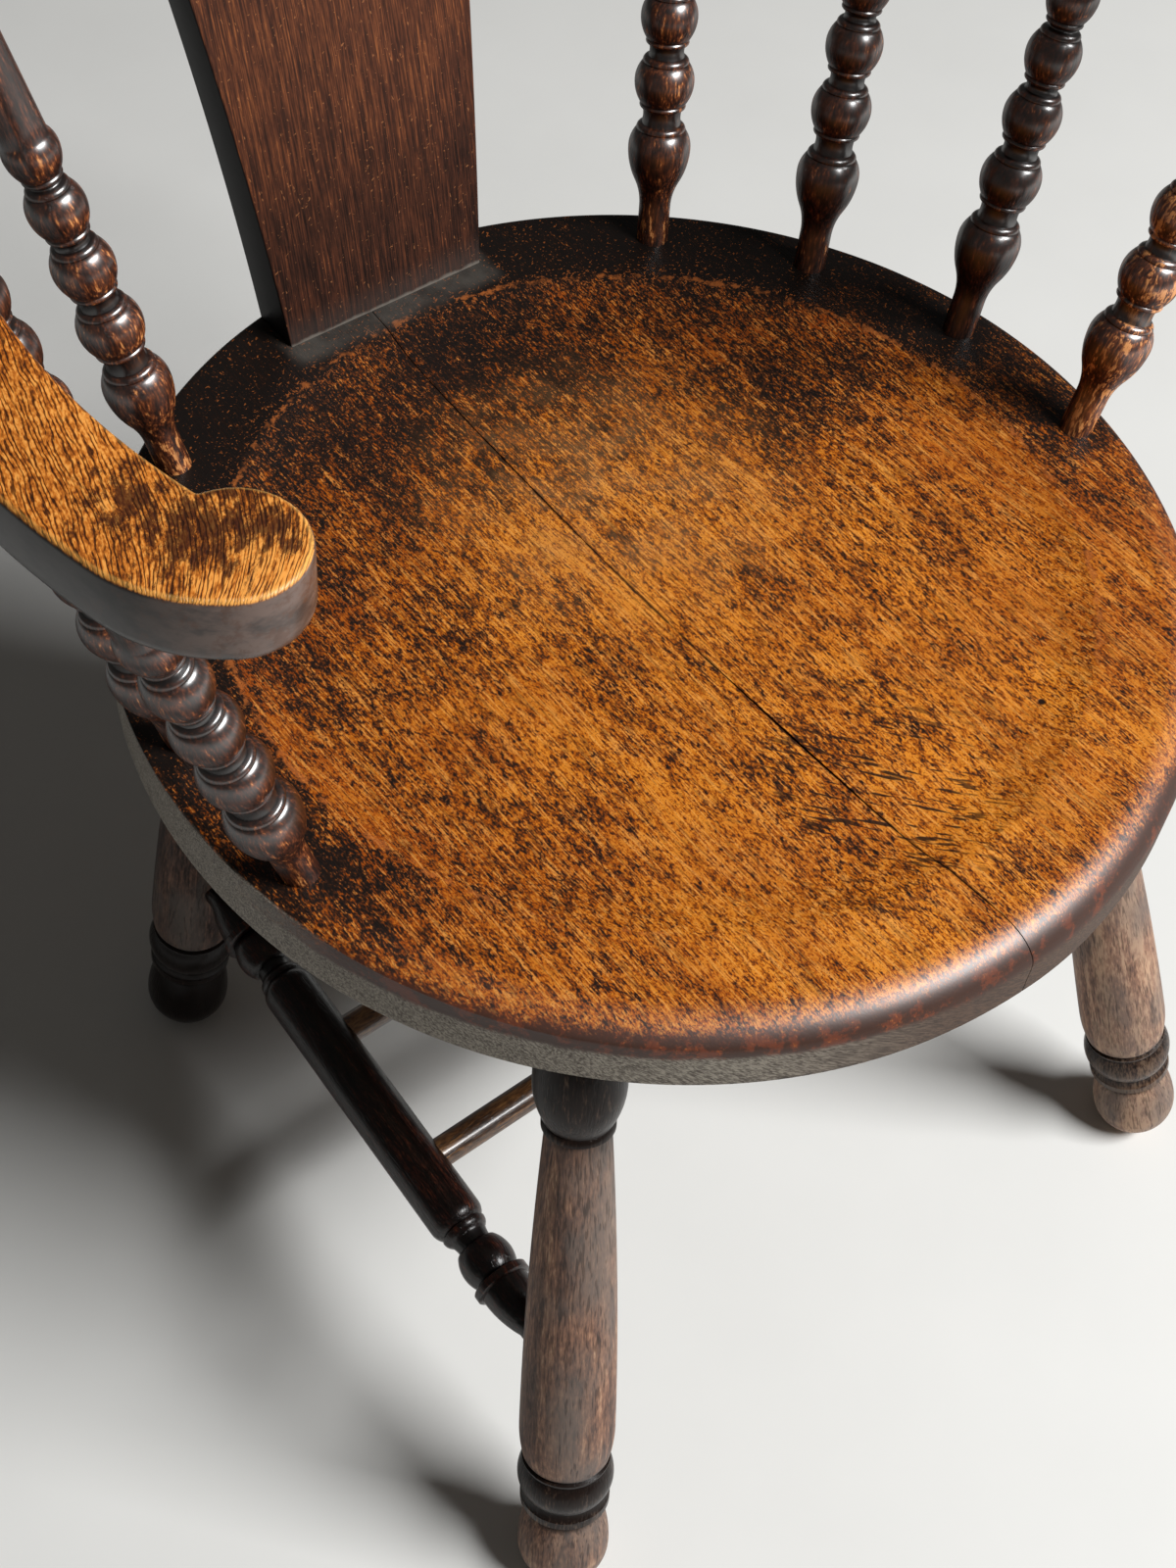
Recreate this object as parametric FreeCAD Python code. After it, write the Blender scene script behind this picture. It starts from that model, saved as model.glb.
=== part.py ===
# Armchair with a round seat, turned bobbin spindles and a bow-shaped arm rail.
# Millimetres, +Z up. The sitter faces -Y and the sitter's left is +X.
# The origin lies on the floor, in the middle of the box that the chair fills.
import FreeCAD, Part
import math
import os

# Fits
glue_gap = 0.1              # radial room round a dowel, tenon or spindle end in its hole
socket_end_gap = 0.5        # room between the end of a tenon and the bottom of its hole
drill_overrun = 12.0        # how far a cutter starts outside the wood

# Seat
seat_height = 408.0         # floor to the flat rim
seat_thickness = 36.0
seat_radius = 255.0
seat_edge_round = 2.0
board_joint_x = -12.0       # glue line between the two boards
dish_radius = 205.0         # ridge between the flat rim and the hollow
dish_depth = 4.0
dish_slope = 26.0           # width of the slope inside the ridge
dish_slope_hollow = 0.7
front_roll_width = 22.0     # the worn front edge, measured inwards
front_roll_depth = 12.0     # the worn front edge, measured down
front_roll_fade = 12.0      # how far the rolled outline is set back, so that it fades at the sides
seat_dowel_radius = 5.0
seat_dowel_length = 56.0
seat_dowel_spread = 150.0

# Bow: two arms that meet behind the sitter, with a crest on top
arm_height = 675.0          # floor to the top of the arms
arm_thickness = 30.0
bow_overhang = 29.0         # inner face of the bow, out from the seat's edge
bow_width = 43.0
arm_top_round = 2.0
arm_under_round = 8.0
nose_angle = 109.3          # from straight back round to the middle of the arm's nose
nose_radius = 24.0
nose_inset = 12.0           # nose centre, inside the middle line of the bow
nose_shoulder_radius = 60.0
nose_notch_round = 1.2
bow_dowel_radius = 4.0
bow_dowel_length = 44.0
bow_dowel_spread = 19.0
bow_dowel_cover = 8.5       # dowel centre below the top of the arms

# Crest rail
crest_height = 62.0
crest_half_angle = 48.0
crest_foot_inset = 4.0      # each side of the crest's foot, in from the bow's faces
crest_lean = 12.0           # how far the front face leans back over its height
crest_top_width = 22.0
crest_top_round = 9.0
crest_end_lip = 9.0         # wood left at the thin ends
crest_scoop_radius = 62.0
crest_screw_angles = [12.0, 30.0]
screw_shank_radius = 2.3
screw_head_radius = 4.4
screw_head_depth = 3.0
screw_length = 55.0
screw_tip_length = 8.0
screw_point_radius = 0.2
screw_slot_width = 1.0
screw_slot_depth = 1.2
screw_sink = 1.0            # head below the underside of the arm

# Back splat
splat_seat_inset = 36.0     # front face, in from the seat's edge
splat_bow_proud = 2.5       # front face, in front of the bow's inner face
splat_hollow = 4.8          # how far the side curve bows forward of a straight line
splat_foot_thickness = 28.0
splat_head_thickness = 25.0
splat_foot_width = 117.0
splat_middle_width = 138.0
splat_head_width = 165.0
splat_tenon_width = 90.0
splat_tenon_thickness = 12.0
splat_tenon_length = 20.0
splat_head_tenon_thickness = 10.0
splat_head_tenon_length = 18.0
splat_head_tenon_inset = 3.0    # tenon's front face, behind the bow's inner face

# Spindles: angles from straight back, rearmost spindle first. The two sides differ a little.
# The insets are the axis at the arm's underside, out from the bow's inner face.
# Heights are along the axis of a spindle of the drawn length, and stretch to suit the real one.
spindle_drawn_length = 246.0
spindle_seat_angles = {"left": [38.4, 59.0, 80.4, 101.4], "right": [39.2, 59.5, 80.4, 101.3]}
spindle_bow_angles = {"left": [37.9, 57.7, 78.4, 97.5], "right": [40.8, 59.0, 78.4, 97.0]}
spindle_bow_insets = {"left": [10.5, 12.0, 10.5, 21.0], "right": [13.0, 18.0, 13.0, 18.0]}
spindle_seat_inset = 18.6   # axis at the seat, in from the seat's edge
spindle_foot_radius = 8.2
spindle_socket_depth = 20.0
spindle_foot_straight = 18.0
bulb_height = 50.5          # widest point of the bulb, along the axis from the seat
bulb_radius = 16.1
bulb_waist_rise = 14.5      # height of the hollow curve below the bulb
bulb_waist_radius = 11.7    # where the hollow curve turns into the bulb
shaft_root_reach = 7.0      # widest point of the last bobbin up to the plain shaft
bobbin_count = 4
bobbin_first_step = 35.1    # bulb to first bobbin
bobbin_step_loss = 2.06     # each step is this much shorter than the last
bobbin_radius_loss = 0.9    # each bobbin is this much thinner than the last
bobbin_upper_reach = 9.0    # widest point up to the groove
bobbin_lower_reach = 11.5   # widest point down to the collar
bobbin_shoulder_loss = 2.9  # the groove is this much thinner than the bobbin
groove_depth = 0.7
groove_width = 0.5
bead_loss = 3.4             # the bead above the groove is this much thinner than the bobbin
collar_loss = 3.3           # so is the collar under the next bobbin
collar_height = 2.4
neck_loss = 6.0
neck_hollow = 0.5
shaft_root_radius = 10.2
shaft_head_radius = 8.4

# Legs: heights are along the axis from the middle of the foot, drops are down from the seat.
foot_radius = 23.5
foot_centre_height = 22.0   # lower than the radius, so the foot has a flat to stand on
leg_top_insets = {"front": 53.3, "back": 47.3}      # axis at the seat's underside, in from its edge
leg_top_angles = {"front": 132.05, "back": 48.73}   # from straight back
foot_outsets = {"front": 69.4, "back": -6.0}        # foot's middle, out from the seat's edge
foot_angles = {"front": 137.85, "back": 51.5}
ankle_height = 28.0
ankle_radius = 18.0
ankle_flare = 1.0
low_ring_height = 32.5
low_ring_width = 5.5
low_ring_radius = 22.8
torus_height = 52.0
torus_reach = 9.5           # half the height of the torus
torus_radius = 24.4
torus_edge_loss = 2.6
bead_height = 65.0
bead_radius = 22.4
shaft_foot_height = 68.5
shaft_foot_radius = 22.2
shaft_groove_radius = 20.8
shaft_height = 86.0         # thickest place of the shaft
shaft_radius = 23.9
shaft_top_radius = 15.2
shaft_swell = 1.5
cup_foot_drop = 84.0        # lower edge of the cup
cup_drop = 62.0             # widest place of the cup
cup_radius = 21.3
cup_foot_radius = 16.0
cup_ring_radius = 17.0
cup_ring_width = 3.5
cup_ring_gap = 1.5
cup_shoulder_drop = 30.0
cup_shoulder_radius = 16.5
leg_neck_radius = 14.5      # where the leg meets the seat
leg_tenon_radius = 12.5
leg_socket_depth = 24.0

# Stretchers: reaches are along the axis from the axis of the leg.
side_front_height = 136.0   # axis of the side stretcher at the front leg
side_back_height = 144.0
side_radius = 14.5
side_end_radius = 8.0
side_end_reach = 6.0        # the stretcher stops here
side_taper_start = 30.0
side_taper_end = 54.5
side_taper_radius = 13.1
side_disc_radius = 15.2
side_disc_width = 4.5
side_edge_width = 1.0
side_ball_end = 79.5
side_ball_neck_radius = 11.3
side_ball_radius = 14.2
side_cove_end = 86.5
side_cove_radius = 9.0
side_bead_end = 91.0
side_bead_radius = 12.4
side_shoulder_end = 99.0    # from here on the thick middle is plain
cross_radius = 8.1
cross_end_reach = 4.0       # the rod stops this far from the side stretcher's axis
cross_shares = {"front": 0.3725, "back": 0.618}   # places along the side stretcher

seat_top = seat_height
seat_under = seat_height - seat_thickness
arm_under = arm_height - arm_thickness
bow_inner_radius = seat_radius + bow_overhang
bow_outer_radius = bow_inner_radius + bow_width
bow_middle_radius = bow_inner_radius + bow_width / 2
up = FreeCAD.Vector(0, 0, 1)
match_room = 0.001          # how near two heights must be to count as one
smallest_radius = 0.01      # a turning that ends in a point still needs some width there
turned_edge = 1.0           # height of the sharp steps between turned members
tenon_lap = 1.0             # how far a tenon is drawn into its own piece
sides = {"left": 1, "right": -1}
spindle_count = len(spindle_seat_angles["left"])


def point(x, y, z=0.0):
    return FreeCAD.Vector(x, y, z)


def around(radius, angle, side=1, z=0.0):
    # A point round the seat's middle: angle 0 is straight back, and it grows towards the arm.
    turn = math.radians(angle)
    return point(side * radius * math.sin(turn), radius * math.cos(turn), z)


def drill(start, along, radius, length):
    return Part.makeCylinder(radius, length, start, along)


def fuse(shapes):
    whole = shapes[0]
    for shape in shapes[1:]:
        whole = whole.fuse(shape)
    return whole.removeSplitter()


def slab(x_low, x_high, y_low, y_high, z_low, z_high):
    return Part.makeBox(x_high - x_low, y_high - y_low, z_high - z_low, point(x_low, y_low, z_low))


class Turning:
    # A lathe outline of heights and radii, turned about its own axis. Heights are stretched.

    def __init__(self, height, radius, stretch=1.0):
        self.edges = []
        self.stretch = stretch
        self.start = self.place(height, radius)
        self.here = self.start

    def place(self, height, radius):
        return point(radius, 0, height * self.stretch)

    def line(self, height, radius):
        there = self.place(height, radius)
        self.edges.append(Part.LineSegment(self.here, there).toShape())
        self.here = there

    def curve(self, height, radius, swell):
        # An arc whose middle stands out from the straight line by swell, or in if it is negative.
        there = self.place(height, radius)
        run = there - self.here
        outward = point(run.z, 0, -run.x)
        outward.normalize()
        middle = (self.here + there) * 0.5 + outward * swell
        self.edges.append(Part.Arc(self.here, middle, there).toShape())
        self.here = there

    def swell_of(self, height, radius):
        # How far an arc stands off its chord if it runs level at its wider or narrower end.
        run = self.place(height, radius) - self.here
        half_chord = run.Length / 2
        bend = run.Length ** 2 / (2 * abs(run.x))
        return bend - math.sqrt(bend ** 2 - half_chord ** 2)

    def dome(self, height, radius):
        # A bulging arc, level where it is widest.
        self.curve(height, radius, self.swell_of(height, radius))

    def cove(self, height, radius):
        # A hollow arc, level where it is narrowest.
        self.curve(height, radius, -self.swell_of(height, radius))

    def add(self, kind, height, radius):
        {"line": self.line, "dome": self.dome, "cove": self.cove}[kind](height, radius)

    def solid(self, start, along):
        axis_top = point(0, 0, self.here.z)
        axis_foot = point(0, 0, self.start.z)
        self.edges.append(Part.LineSegment(self.here, axis_top).toShape())
        self.edges.append(Part.LineSegment(axis_top, axis_foot).toShape())
        self.edges.append(Part.LineSegment(axis_foot, self.start).toShape())
        face = Part.Face(Part.Wire(self.edges))
        turned = face.revolve(point(0, 0, 0), up, 360)
        turned.Placement = FreeCAD.Placement(start, FreeCAD.Rotation(up, along))
        return turned


def ring_profile(points, turn_degrees, start_degrees=0.0):
    # Revolves a closed polygon of radii and heights about the seat's upright axis.
    corners = [point(radius, 0, height) for radius, height in points]
    face = Part.Face(Part.makePolygon(corners + [corners[0]]))
    face.rotate(point(0, 0, 0), up, start_degrees)
    return face.revolve(point(0, 0, 0), up, turn_degrees)


# Legs and stretchers are worked out first, because their tenons shape the seat and each other.

def leg_axis(end, side):
    foot = around(seat_radius + foot_outsets[end], foot_angles[end], side, foot_centre_height)
    top = around(seat_radius - leg_top_insets[end], leg_top_angles[end], side, seat_under)
    return foot, top


def on_leg(end, side, height):
    foot, top = leg_axis(end, side)
    share = (height - foot.z) / (top.z - foot.z)
    return foot + (top - foot) * share


def unit(run):
    along = FreeCAD.Vector(run)
    along.normalize()
    return along


def side_stretcher_axis(side):
    return on_leg("front", side, side_front_height), on_leg("back", side, side_back_height)


def cross_stretcher_point(end, side):
    front, back = side_stretcher_axis(side)
    return front + (back - front) * cross_shares[end]


def leg_outline(length):
    shaft_top = length - cup_foot_drop - cup_ring_width - cup_ring_gap
    cup_foot = length - cup_foot_drop
    torus_top = torus_height + torus_reach
    outline = Turning(0, foot_radius)
    outline.dome(ankle_height, ankle_radius)
    outline.cove(low_ring_height, ankle_radius + ankle_flare)
    outline.line(low_ring_height + turned_edge, low_ring_radius)
    outline.line(low_ring_height + low_ring_width, low_ring_radius)
    outline.line(torus_height - torus_reach, torus_radius - torus_edge_loss)
    outline.dome(torus_height, torus_radius)
    outline.dome(torus_top, torus_radius - torus_edge_loss)
    outline.line(torus_top + turned_edge, bead_radius - turned_edge)
    outline.dome(bead_height, bead_radius)
    outline.line(bead_height + turned_edge, shaft_groove_radius)
    outline.line(shaft_foot_height, shaft_foot_radius)
    outline.dome(shaft_height, shaft_radius)
    outline.curve(shaft_top, shaft_top_radius, shaft_swell)
    outline.line(shaft_top + turned_edge, cup_ring_radius)
    outline.line(shaft_top + cup_ring_width, cup_ring_radius)
    outline.line(cup_foot, cup_foot_radius)
    outline.dome(length - cup_drop, cup_radius)
    outline.dome(length - cup_shoulder_drop, cup_shoulder_radius)
    outline.cove(length + leg_neck_radius, leg_neck_radius)
    return outline


def leg(end, side):
    foot, top = leg_axis(end, side)
    along = unit(top - foot)
    reach = 2 * seat_radius
    room_height = slab(-reach, reach, -reach, reach, 0, seat_under)
    turned = leg_outline((top - foot).Length).solid(foot, along).common(room_height)
    # The lower half of the foot is a ball, worn flat where it stands.
    below = drill(foot - along * 2 * foot_radius, along, 2 * foot_radius, 2 * foot_radius)
    ball = Part.makeSphere(foot_radius, foot).common(room_height).common(below)
    tenon = drill(top - along * leg_neck_radius, along, leg_tenon_radius,
                  leg_neck_radius + leg_socket_depth - socket_end_gap)
    shape = fuse([turned, ball, tenon])
    front, back = side_stretcher_axis(side)
    joint = front if end == "front" else back
    other = back if end == "front" else front
    inward = unit(other - joint)
    hole = drill(joint + inward * (side_end_reach - socket_end_gap), inward,
                 side_end_radius + glue_gap, foot_radius + drill_overrun)
    return shape.cut(hole)


def side_stretcher(side):
    front, back = side_stretcher_axis(side)
    along = unit(back - front)
    length = (back - front).Length
    disc_end = side_taper_end + side_edge_width + side_disc_width
    ball_middle = (disc_end + side_ball_end) / 2
    steps = [
        ("line", side_end_reach, side_end_radius),
        ("line", side_taper_start, side_end_radius),
        ("dome", side_taper_end, side_taper_radius),
        ("line", side_taper_end + side_edge_width, side_disc_radius),
        ("line", disc_end - side_edge_width, side_disc_radius),
        ("line", disc_end, side_ball_neck_radius),
        ("dome", ball_middle, side_ball_radius),
        ("dome", side_ball_end, side_ball_neck_radius),
        ("line", side_ball_end + side_edge_width, side_cove_radius),
        ("cove", side_cove_end, side_cove_radius + side_edge_width),
        ("dome", side_bead_end, side_bead_radius),
        ("line", side_bead_end + side_edge_width, side_bead_radius - side_edge_width),
        ("dome", side_shoulder_end, side_radius),
    ]
    outline = Turning(steps[0][1], steps[0][2])
    for kind, reach, radius in steps[1:]:
        outline.add(kind, reach, radius)
    outline.line(length - side_shoulder_end, side_radius)
    for number in range(len(steps) - 1, 0, -1):
        outline.add(steps[number][0], length - steps[number - 1][1], steps[number - 1][2])
    shape = outline.solid(front, along)
    inward = point(-side, 0, 0)
    for end in cross_shares:
        middle = cross_stretcher_point(end, side)
        hole = drill(middle + inward * (cross_end_reach - socket_end_gap), inward,
                     cross_radius + glue_gap, side_radius + drill_overrun)
        shape = shape.cut(hole)
    return shape


def cross_stretcher(end):
    left = cross_stretcher_point(end, sides["left"])
    right = cross_stretcher_point(end, sides["right"])
    along = unit(left - right)
    length = (left - right).Length - 2 * cross_end_reach
    return drill(right + along * cross_end_reach, along, cross_radius, length)


def spindle_axis(number, name):
    side = sides[name]
    foot = around(seat_radius - spindle_seat_inset, spindle_seat_angles[name][number], side, seat_top)
    head_reach = bow_inner_radius + spindle_bow_insets[name][number]
    head = around(head_reach, spindle_bow_angles[name][number], side, arm_under)
    return foot, head


def bobbin_neck(outline, middle, radius, following, next_radius):
    # From one bobbin's middle to the next: dome, groove, bead, neck, collar and the next swell.
    groove = middle + bobbin_upper_reach
    groove_radius = radius - bobbin_shoulder_loss
    bead_foot = groove + 2 * groove_width
    bead_radius = radius - bead_loss
    neck_radius = radius - neck_loss
    collar_top = following - bobbin_lower_reach
    collar_radius = next_radius - collar_loss
    outline.dome(groove, groove_radius)
    outline.line(groove + groove_width, groove_radius - groove_depth)
    outline.line(bead_foot, bead_radius)
    outline.dome(bead_foot + collar_height, bead_radius - collar_height / 2)
    outline.line(bead_foot + collar_height + groove_width, neck_radius)
    outline.curve(collar_top - collar_height - groove_width, neck_radius, -neck_hollow)
    outline.line(collar_top - collar_height, collar_radius - groove_depth)
    outline.curve(collar_top, collar_radius - groove_depth, groove_depth)
    outline.line(collar_top + groove_width, collar_radius)
    outline.dome(following, next_radius)


def spindle(number, name):
    foot, head = spindle_axis(number, name)
    stretch = (head - foot).Length / spindle_drawn_length
    foot_end = (socket_end_gap - spindle_socket_depth) / stretch
    outline = Turning(foot_end, spindle_foot_radius, stretch)
    outline.line(spindle_foot_straight, spindle_foot_radius)
    outline.cove(spindle_foot_straight + bulb_waist_rise, bulb_waist_radius)
    outline.dome(bulb_height, bulb_radius)
    middle = bulb_height
    radius = bulb_radius
    step = bobbin_first_step
    for bobbin in range(bobbin_count):
        following = middle + step
        next_radius = radius - bobbin_radius_loss
        bobbin_neck(outline, middle, radius, following, next_radius)
        middle = following
        radius = next_radius
        step -= bobbin_step_loss
    outline.dome(middle + shaft_root_reach, shaft_root_radius)
    outline.line(spindle_drawn_length, shaft_head_radius)
    outline.line(spindle_drawn_length - foot_end, shaft_head_radius)
    return outline.solid(foot, unit(head - foot))


def seat_disc():
    outline = Turning(seat_under, smallest_radius)
    outline.line(seat_under, seat_radius - seat_edge_round)
    outline.dome(seat_under + seat_edge_round, seat_radius)
    outline.line(seat_top - seat_edge_round, seat_radius)
    outline.dome(seat_top, seat_radius - seat_edge_round)
    outline.line(seat_top, dish_radius)
    outline.curve(seat_top - dish_depth, dish_radius - dish_slope, -dish_slope_hollow)
    outline.line(seat_top - dish_depth, smallest_radius)
    return outline.solid(point(0, 0, 0), up).common(rolled_front())


def rolled_front():
    # A wider disc set back from the seat: its quarter-ellipse edge meets only the seat's front.
    radius = seat_radius + front_roll_fade
    centre = point(radius - front_roll_width, 0, seat_top - front_roll_depth)
    ellipse = Part.Ellipse(centre + point(front_roll_width, 0, 0), centre + point(0, 0, front_roll_depth), centre)
    quarter = Part.ArcOfEllipse(ellipse, 0, math.pi / 2).toShape()
    foot = seat_under - seat_edge_round
    low = [point(radius, 0, seat_top - front_roll_depth), point(radius, 0, foot), point(0, 0, foot)]
    high = [point(0, 0, seat_top), point(radius - front_roll_width, 0, seat_top)]
    walls = Part.makePolygon(low + high).Edges
    face = Part.Face(Part.Wire(Part.__sortEdges__(walls + [quarter])))
    turned = face.revolve(point(0, 0, 0), up, 360)
    turned.translate(point(0, front_roll_fade, 0))
    return turned


def seat_boards():
    disc = seat_disc()
    cutters = []
    for name, side in sides.items():
        for number in range(spindle_count):
            foot, head = spindle_axis(number, name)
            along = unit(head - foot)
            cutters.append(drill(foot - along * spindle_socket_depth, along,
                                 spindle_foot_radius + glue_gap, spindle_socket_depth + drill_overrun))
        for end in ("front", "back"):
            foot, top = leg_axis(end, side)
            along = unit(top - foot)
            cutters.append(drill(top - along * drill_overrun, along,
                                 leg_tenon_radius + glue_gap, leg_socket_depth + drill_overrun))
    cutters.append(splat_tenon(glue_gap))
    for middle in seat_dowel_places():
        cutters.append(seat_dowel(middle, glue_gap, socket_end_gap))
    for cutter in cutters:
        disc = disc.cut(cutter)
    reach = 2 * seat_radius
    left = disc.common(slab(board_joint_x, reach, -reach, reach, 0, arm_height))
    right = disc.common(slab(-reach, board_joint_x, -reach, reach, 0, arm_height))
    return left, right


def seat_dowel_places():
    height = seat_under + seat_thickness / 2
    return [point(board_joint_x, share * seat_dowel_spread, height) for share in (-1, 0, 1)]


def seat_dowel(middle, room=0.0, end_room=0.0):
    length = seat_dowel_length + 2 * end_room
    return drill(middle - point(length / 2, 0, 0), point(1, 0, 0), seat_dowel_radius + room, length)


def splat_front():
    # Front face of the splat, as places along Y at the seat and at the arms' underside.
    return seat_radius - splat_seat_inset, bow_inner_radius - splat_bow_proud


def splat_tenon(room=0.0):
    front = splat_front()[0]
    middle = front + splat_foot_thickness / 2
    half = splat_tenon_width / 2 + room
    thick = splat_tenon_thickness / 2 + room
    depth = splat_tenon_length if room else splat_tenon_length - socket_end_gap
    return slab(-half, half, middle - thick, middle + thick, seat_top - depth, seat_top + tenon_lap)


def splat_head_tenon(room=0.0):
    front = bow_inner_radius + splat_head_tenon_inset
    half = splat_tenon_width / 2 + room
    depth = splat_head_tenon_length if room else splat_head_tenon_length - socket_end_gap
    return slab(-half, half, front - room, front + splat_head_tenon_thickness + room,
                arm_under - tenon_lap, arm_under + depth)


def back_splat():
    foot_y, head_y = splat_front()
    middle_z = (seat_top + arm_under) / 2
    middle_y = (foot_y + head_y) / 2 - splat_hollow
    middle_thickness = (splat_foot_thickness + splat_head_thickness) / 2
    front = Part.Arc(point(0, foot_y, seat_top), point(0, middle_y, middle_z), point(0, head_y, arm_under))
    back = Part.Arc(point(0, foot_y + splat_foot_thickness, seat_top),
                    point(0, middle_y + middle_thickness, middle_z),
                    point(0, head_y + splat_head_thickness, arm_under))
    foot = Part.LineSegment(front.StartPoint, back.StartPoint)
    head = Part.LineSegment(front.EndPoint, back.EndPoint)
    side_edges = [front.toShape(), head.toShape(), back.toShape(), foot.toShape()]
    side_face = Part.Face(Part.Wire(Part.__sortEdges__(side_edges)))
    side_face.translate(point(-splat_head_width, 0, 0))
    blank = side_face.extrude(point(2 * splat_head_width, 0, 0))
    right = Part.Arc(point(-splat_foot_width / 2, 0, seat_top), point(-splat_middle_width / 2, 0, middle_z),
                     point(-splat_head_width / 2, 0, arm_under))
    left = Part.Arc(point(splat_foot_width / 2, 0, seat_top), point(splat_middle_width / 2, 0, middle_z),
                    point(splat_head_width / 2, 0, arm_under))
    low = Part.LineSegment(right.StartPoint, left.StartPoint)
    high = Part.LineSegment(right.EndPoint, left.EndPoint)
    front_edges = [right.toShape(), high.toShape(), left.toShape(), low.toShape()]
    front_face = Part.Face(Part.Wire(Part.__sortEdges__(front_edges)))
    outline = front_face.extrude(point(0, 2 * bow_outer_radius, 0))
    return fuse([blank.common(outline), splat_tenon(), splat_head_tenon()])


def triangle_angle(near, far, facing):
    # Angle in degrees between the sides near and far of a triangle, opposite the side facing.
    return math.degrees(math.acos((near ** 2 + far ** 2 - facing ** 2) / (2 * near * far)))


def arm_plan(side):
    # The arm from above: the bow's two arcs, a shoulder arc, the round nose and a small arc
    # in the notch where the nose meets the inner face. Each arc runs on smoothly from the last.
    nose_distance = bow_middle_radius - nose_inset
    nose = around(nose_distance, nose_angle, side)
    notch_distance = bow_inner_radius - nose_notch_round
    notch_angle = nose_angle - triangle_angle(notch_distance, nose_distance, nose_radius + nose_notch_round)
    notch = around(notch_distance, notch_angle, side)
    inner_end = around(bow_inner_radius, notch_angle, side)
    nose_end = nose + unit(notch - nose) * nose_radius
    notch_middle = notch + unit(inner_end + nose_end - notch * 2) * nose_notch_round
    shoulder_distance = bow_outer_radius - nose_shoulder_radius
    shoulder_reach = nose_shoulder_radius - nose_radius
    shoulder_angle = nose_angle - triangle_angle(shoulder_distance, nose_distance, shoulder_reach)
    shoulder = around(shoulder_distance, shoulder_angle, side)
    outer_end = around(bow_outer_radius, shoulder_angle, side)
    nose_start = nose + unit(nose - shoulder) * nose_radius
    shoulder_middle = shoulder + unit(outer_end + nose_start - shoulder * 2) * nose_shoulder_radius
    nose_middle = nose - unit(nose_end + nose_start - nose * 2) * nose_radius
    arcs = [
        (around(bow_outer_radius, 0, side), around(bow_outer_radius, shoulder_angle / 2, side), outer_end),
        (outer_end, shoulder_middle, nose_start),
        (nose_start, nose_middle, nose_end),
        (nose_end, notch_middle, inner_end),
        (inner_end, around(bow_inner_radius, notch_angle / 2, side), around(bow_inner_radius, 0, side)),
    ]
    edges = [Part.Arc(*places).toShape() for places in arcs]
    edges.append(Part.LineSegment(arcs[-1][2], arcs[0][0]).toShape())
    return Part.Wire(Part.__sortEdges__(edges))


def rim_edges(shape, height):
    # The edges lying flat at a height, but for the straight one at the joint behind the sitter.
    found = []
    for edge in shape.Edges:
        box = edge.BoundBox
        level = abs(box.ZMin - height) < match_room and abs(box.ZMax - height) < match_room
        if level and box.XLength > match_room:
            found.append(edge)
    return found


def arm(name):
    side = sides[name]
    face = Part.Face(arm_plan(side))
    face.translate(point(0, 0, arm_under))
    shape = face.extrude(point(0, 0, arm_thickness))
    shape = shape.makeFillet(arm_top_round, rim_edges(shape, arm_height))
    shape = shape.makeFillet(arm_under_round, rim_edges(shape, arm_under))
    cutters = [splat_head_tenon(glue_gap)]
    for number in range(spindle_count):
        foot, head = spindle_axis(number, name)
        along = unit(head - foot)
        cutters.append(drill(head - along * drill_overrun, along,
                             shaft_head_radius + glue_gap, spindle_socket_depth + drill_overrun))
    for middle in bow_dowel_places():
        cutters.append(bow_dowel(middle, glue_gap, socket_end_gap))
    for place in crest_screw_places():
        cutters.append(crest_screw(place, glue_gap, drill_overrun))
    for cutter in cutters:
        shape = shape.cut(cutter)
    return shape


def bow_dowel_places():
    height = arm_height - bow_dowel_cover
    half = bow_dowel_spread / 2
    return [point(0, bow_middle_radius + shift, height) for shift in (-half, half)]


def bow_dowel(middle, room=0.0, end_room=0.0):
    length = bow_dowel_length + 2 * end_room
    return drill(middle - point(length / 2, 0, 0), point(1, 0, 0), bow_dowel_radius + room, length)


def crest_screw_places():
    places = []
    for side in sides.values():
        for angle in crest_screw_angles:
            places.append(around(bow_middle_radius, angle, side, arm_under + screw_sink))
    return places


def crest_screw(place, room=0.0, below=0.0):
    # With room, this is the cutter for the screw's hole, which runs on below the head.
    head = screw_head_radius + room
    shank = screw_shank_radius + room
    outline = Turning(-below, head)
    if below:
        outline.line(0, head)
    outline.line(screw_head_depth, shank)
    outline.line(screw_length - screw_tip_length, shank)
    outline.line(screw_length, screw_point_radius + room)
    shape = outline.solid(place, up)
    if below:
        return shape
    slot = slab(-head, head, -screw_slot_width / 2, screw_slot_width / 2, -screw_head_depth, screw_slot_depth)
    slot.translate(place)
    return shape.cut(slot)


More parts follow.
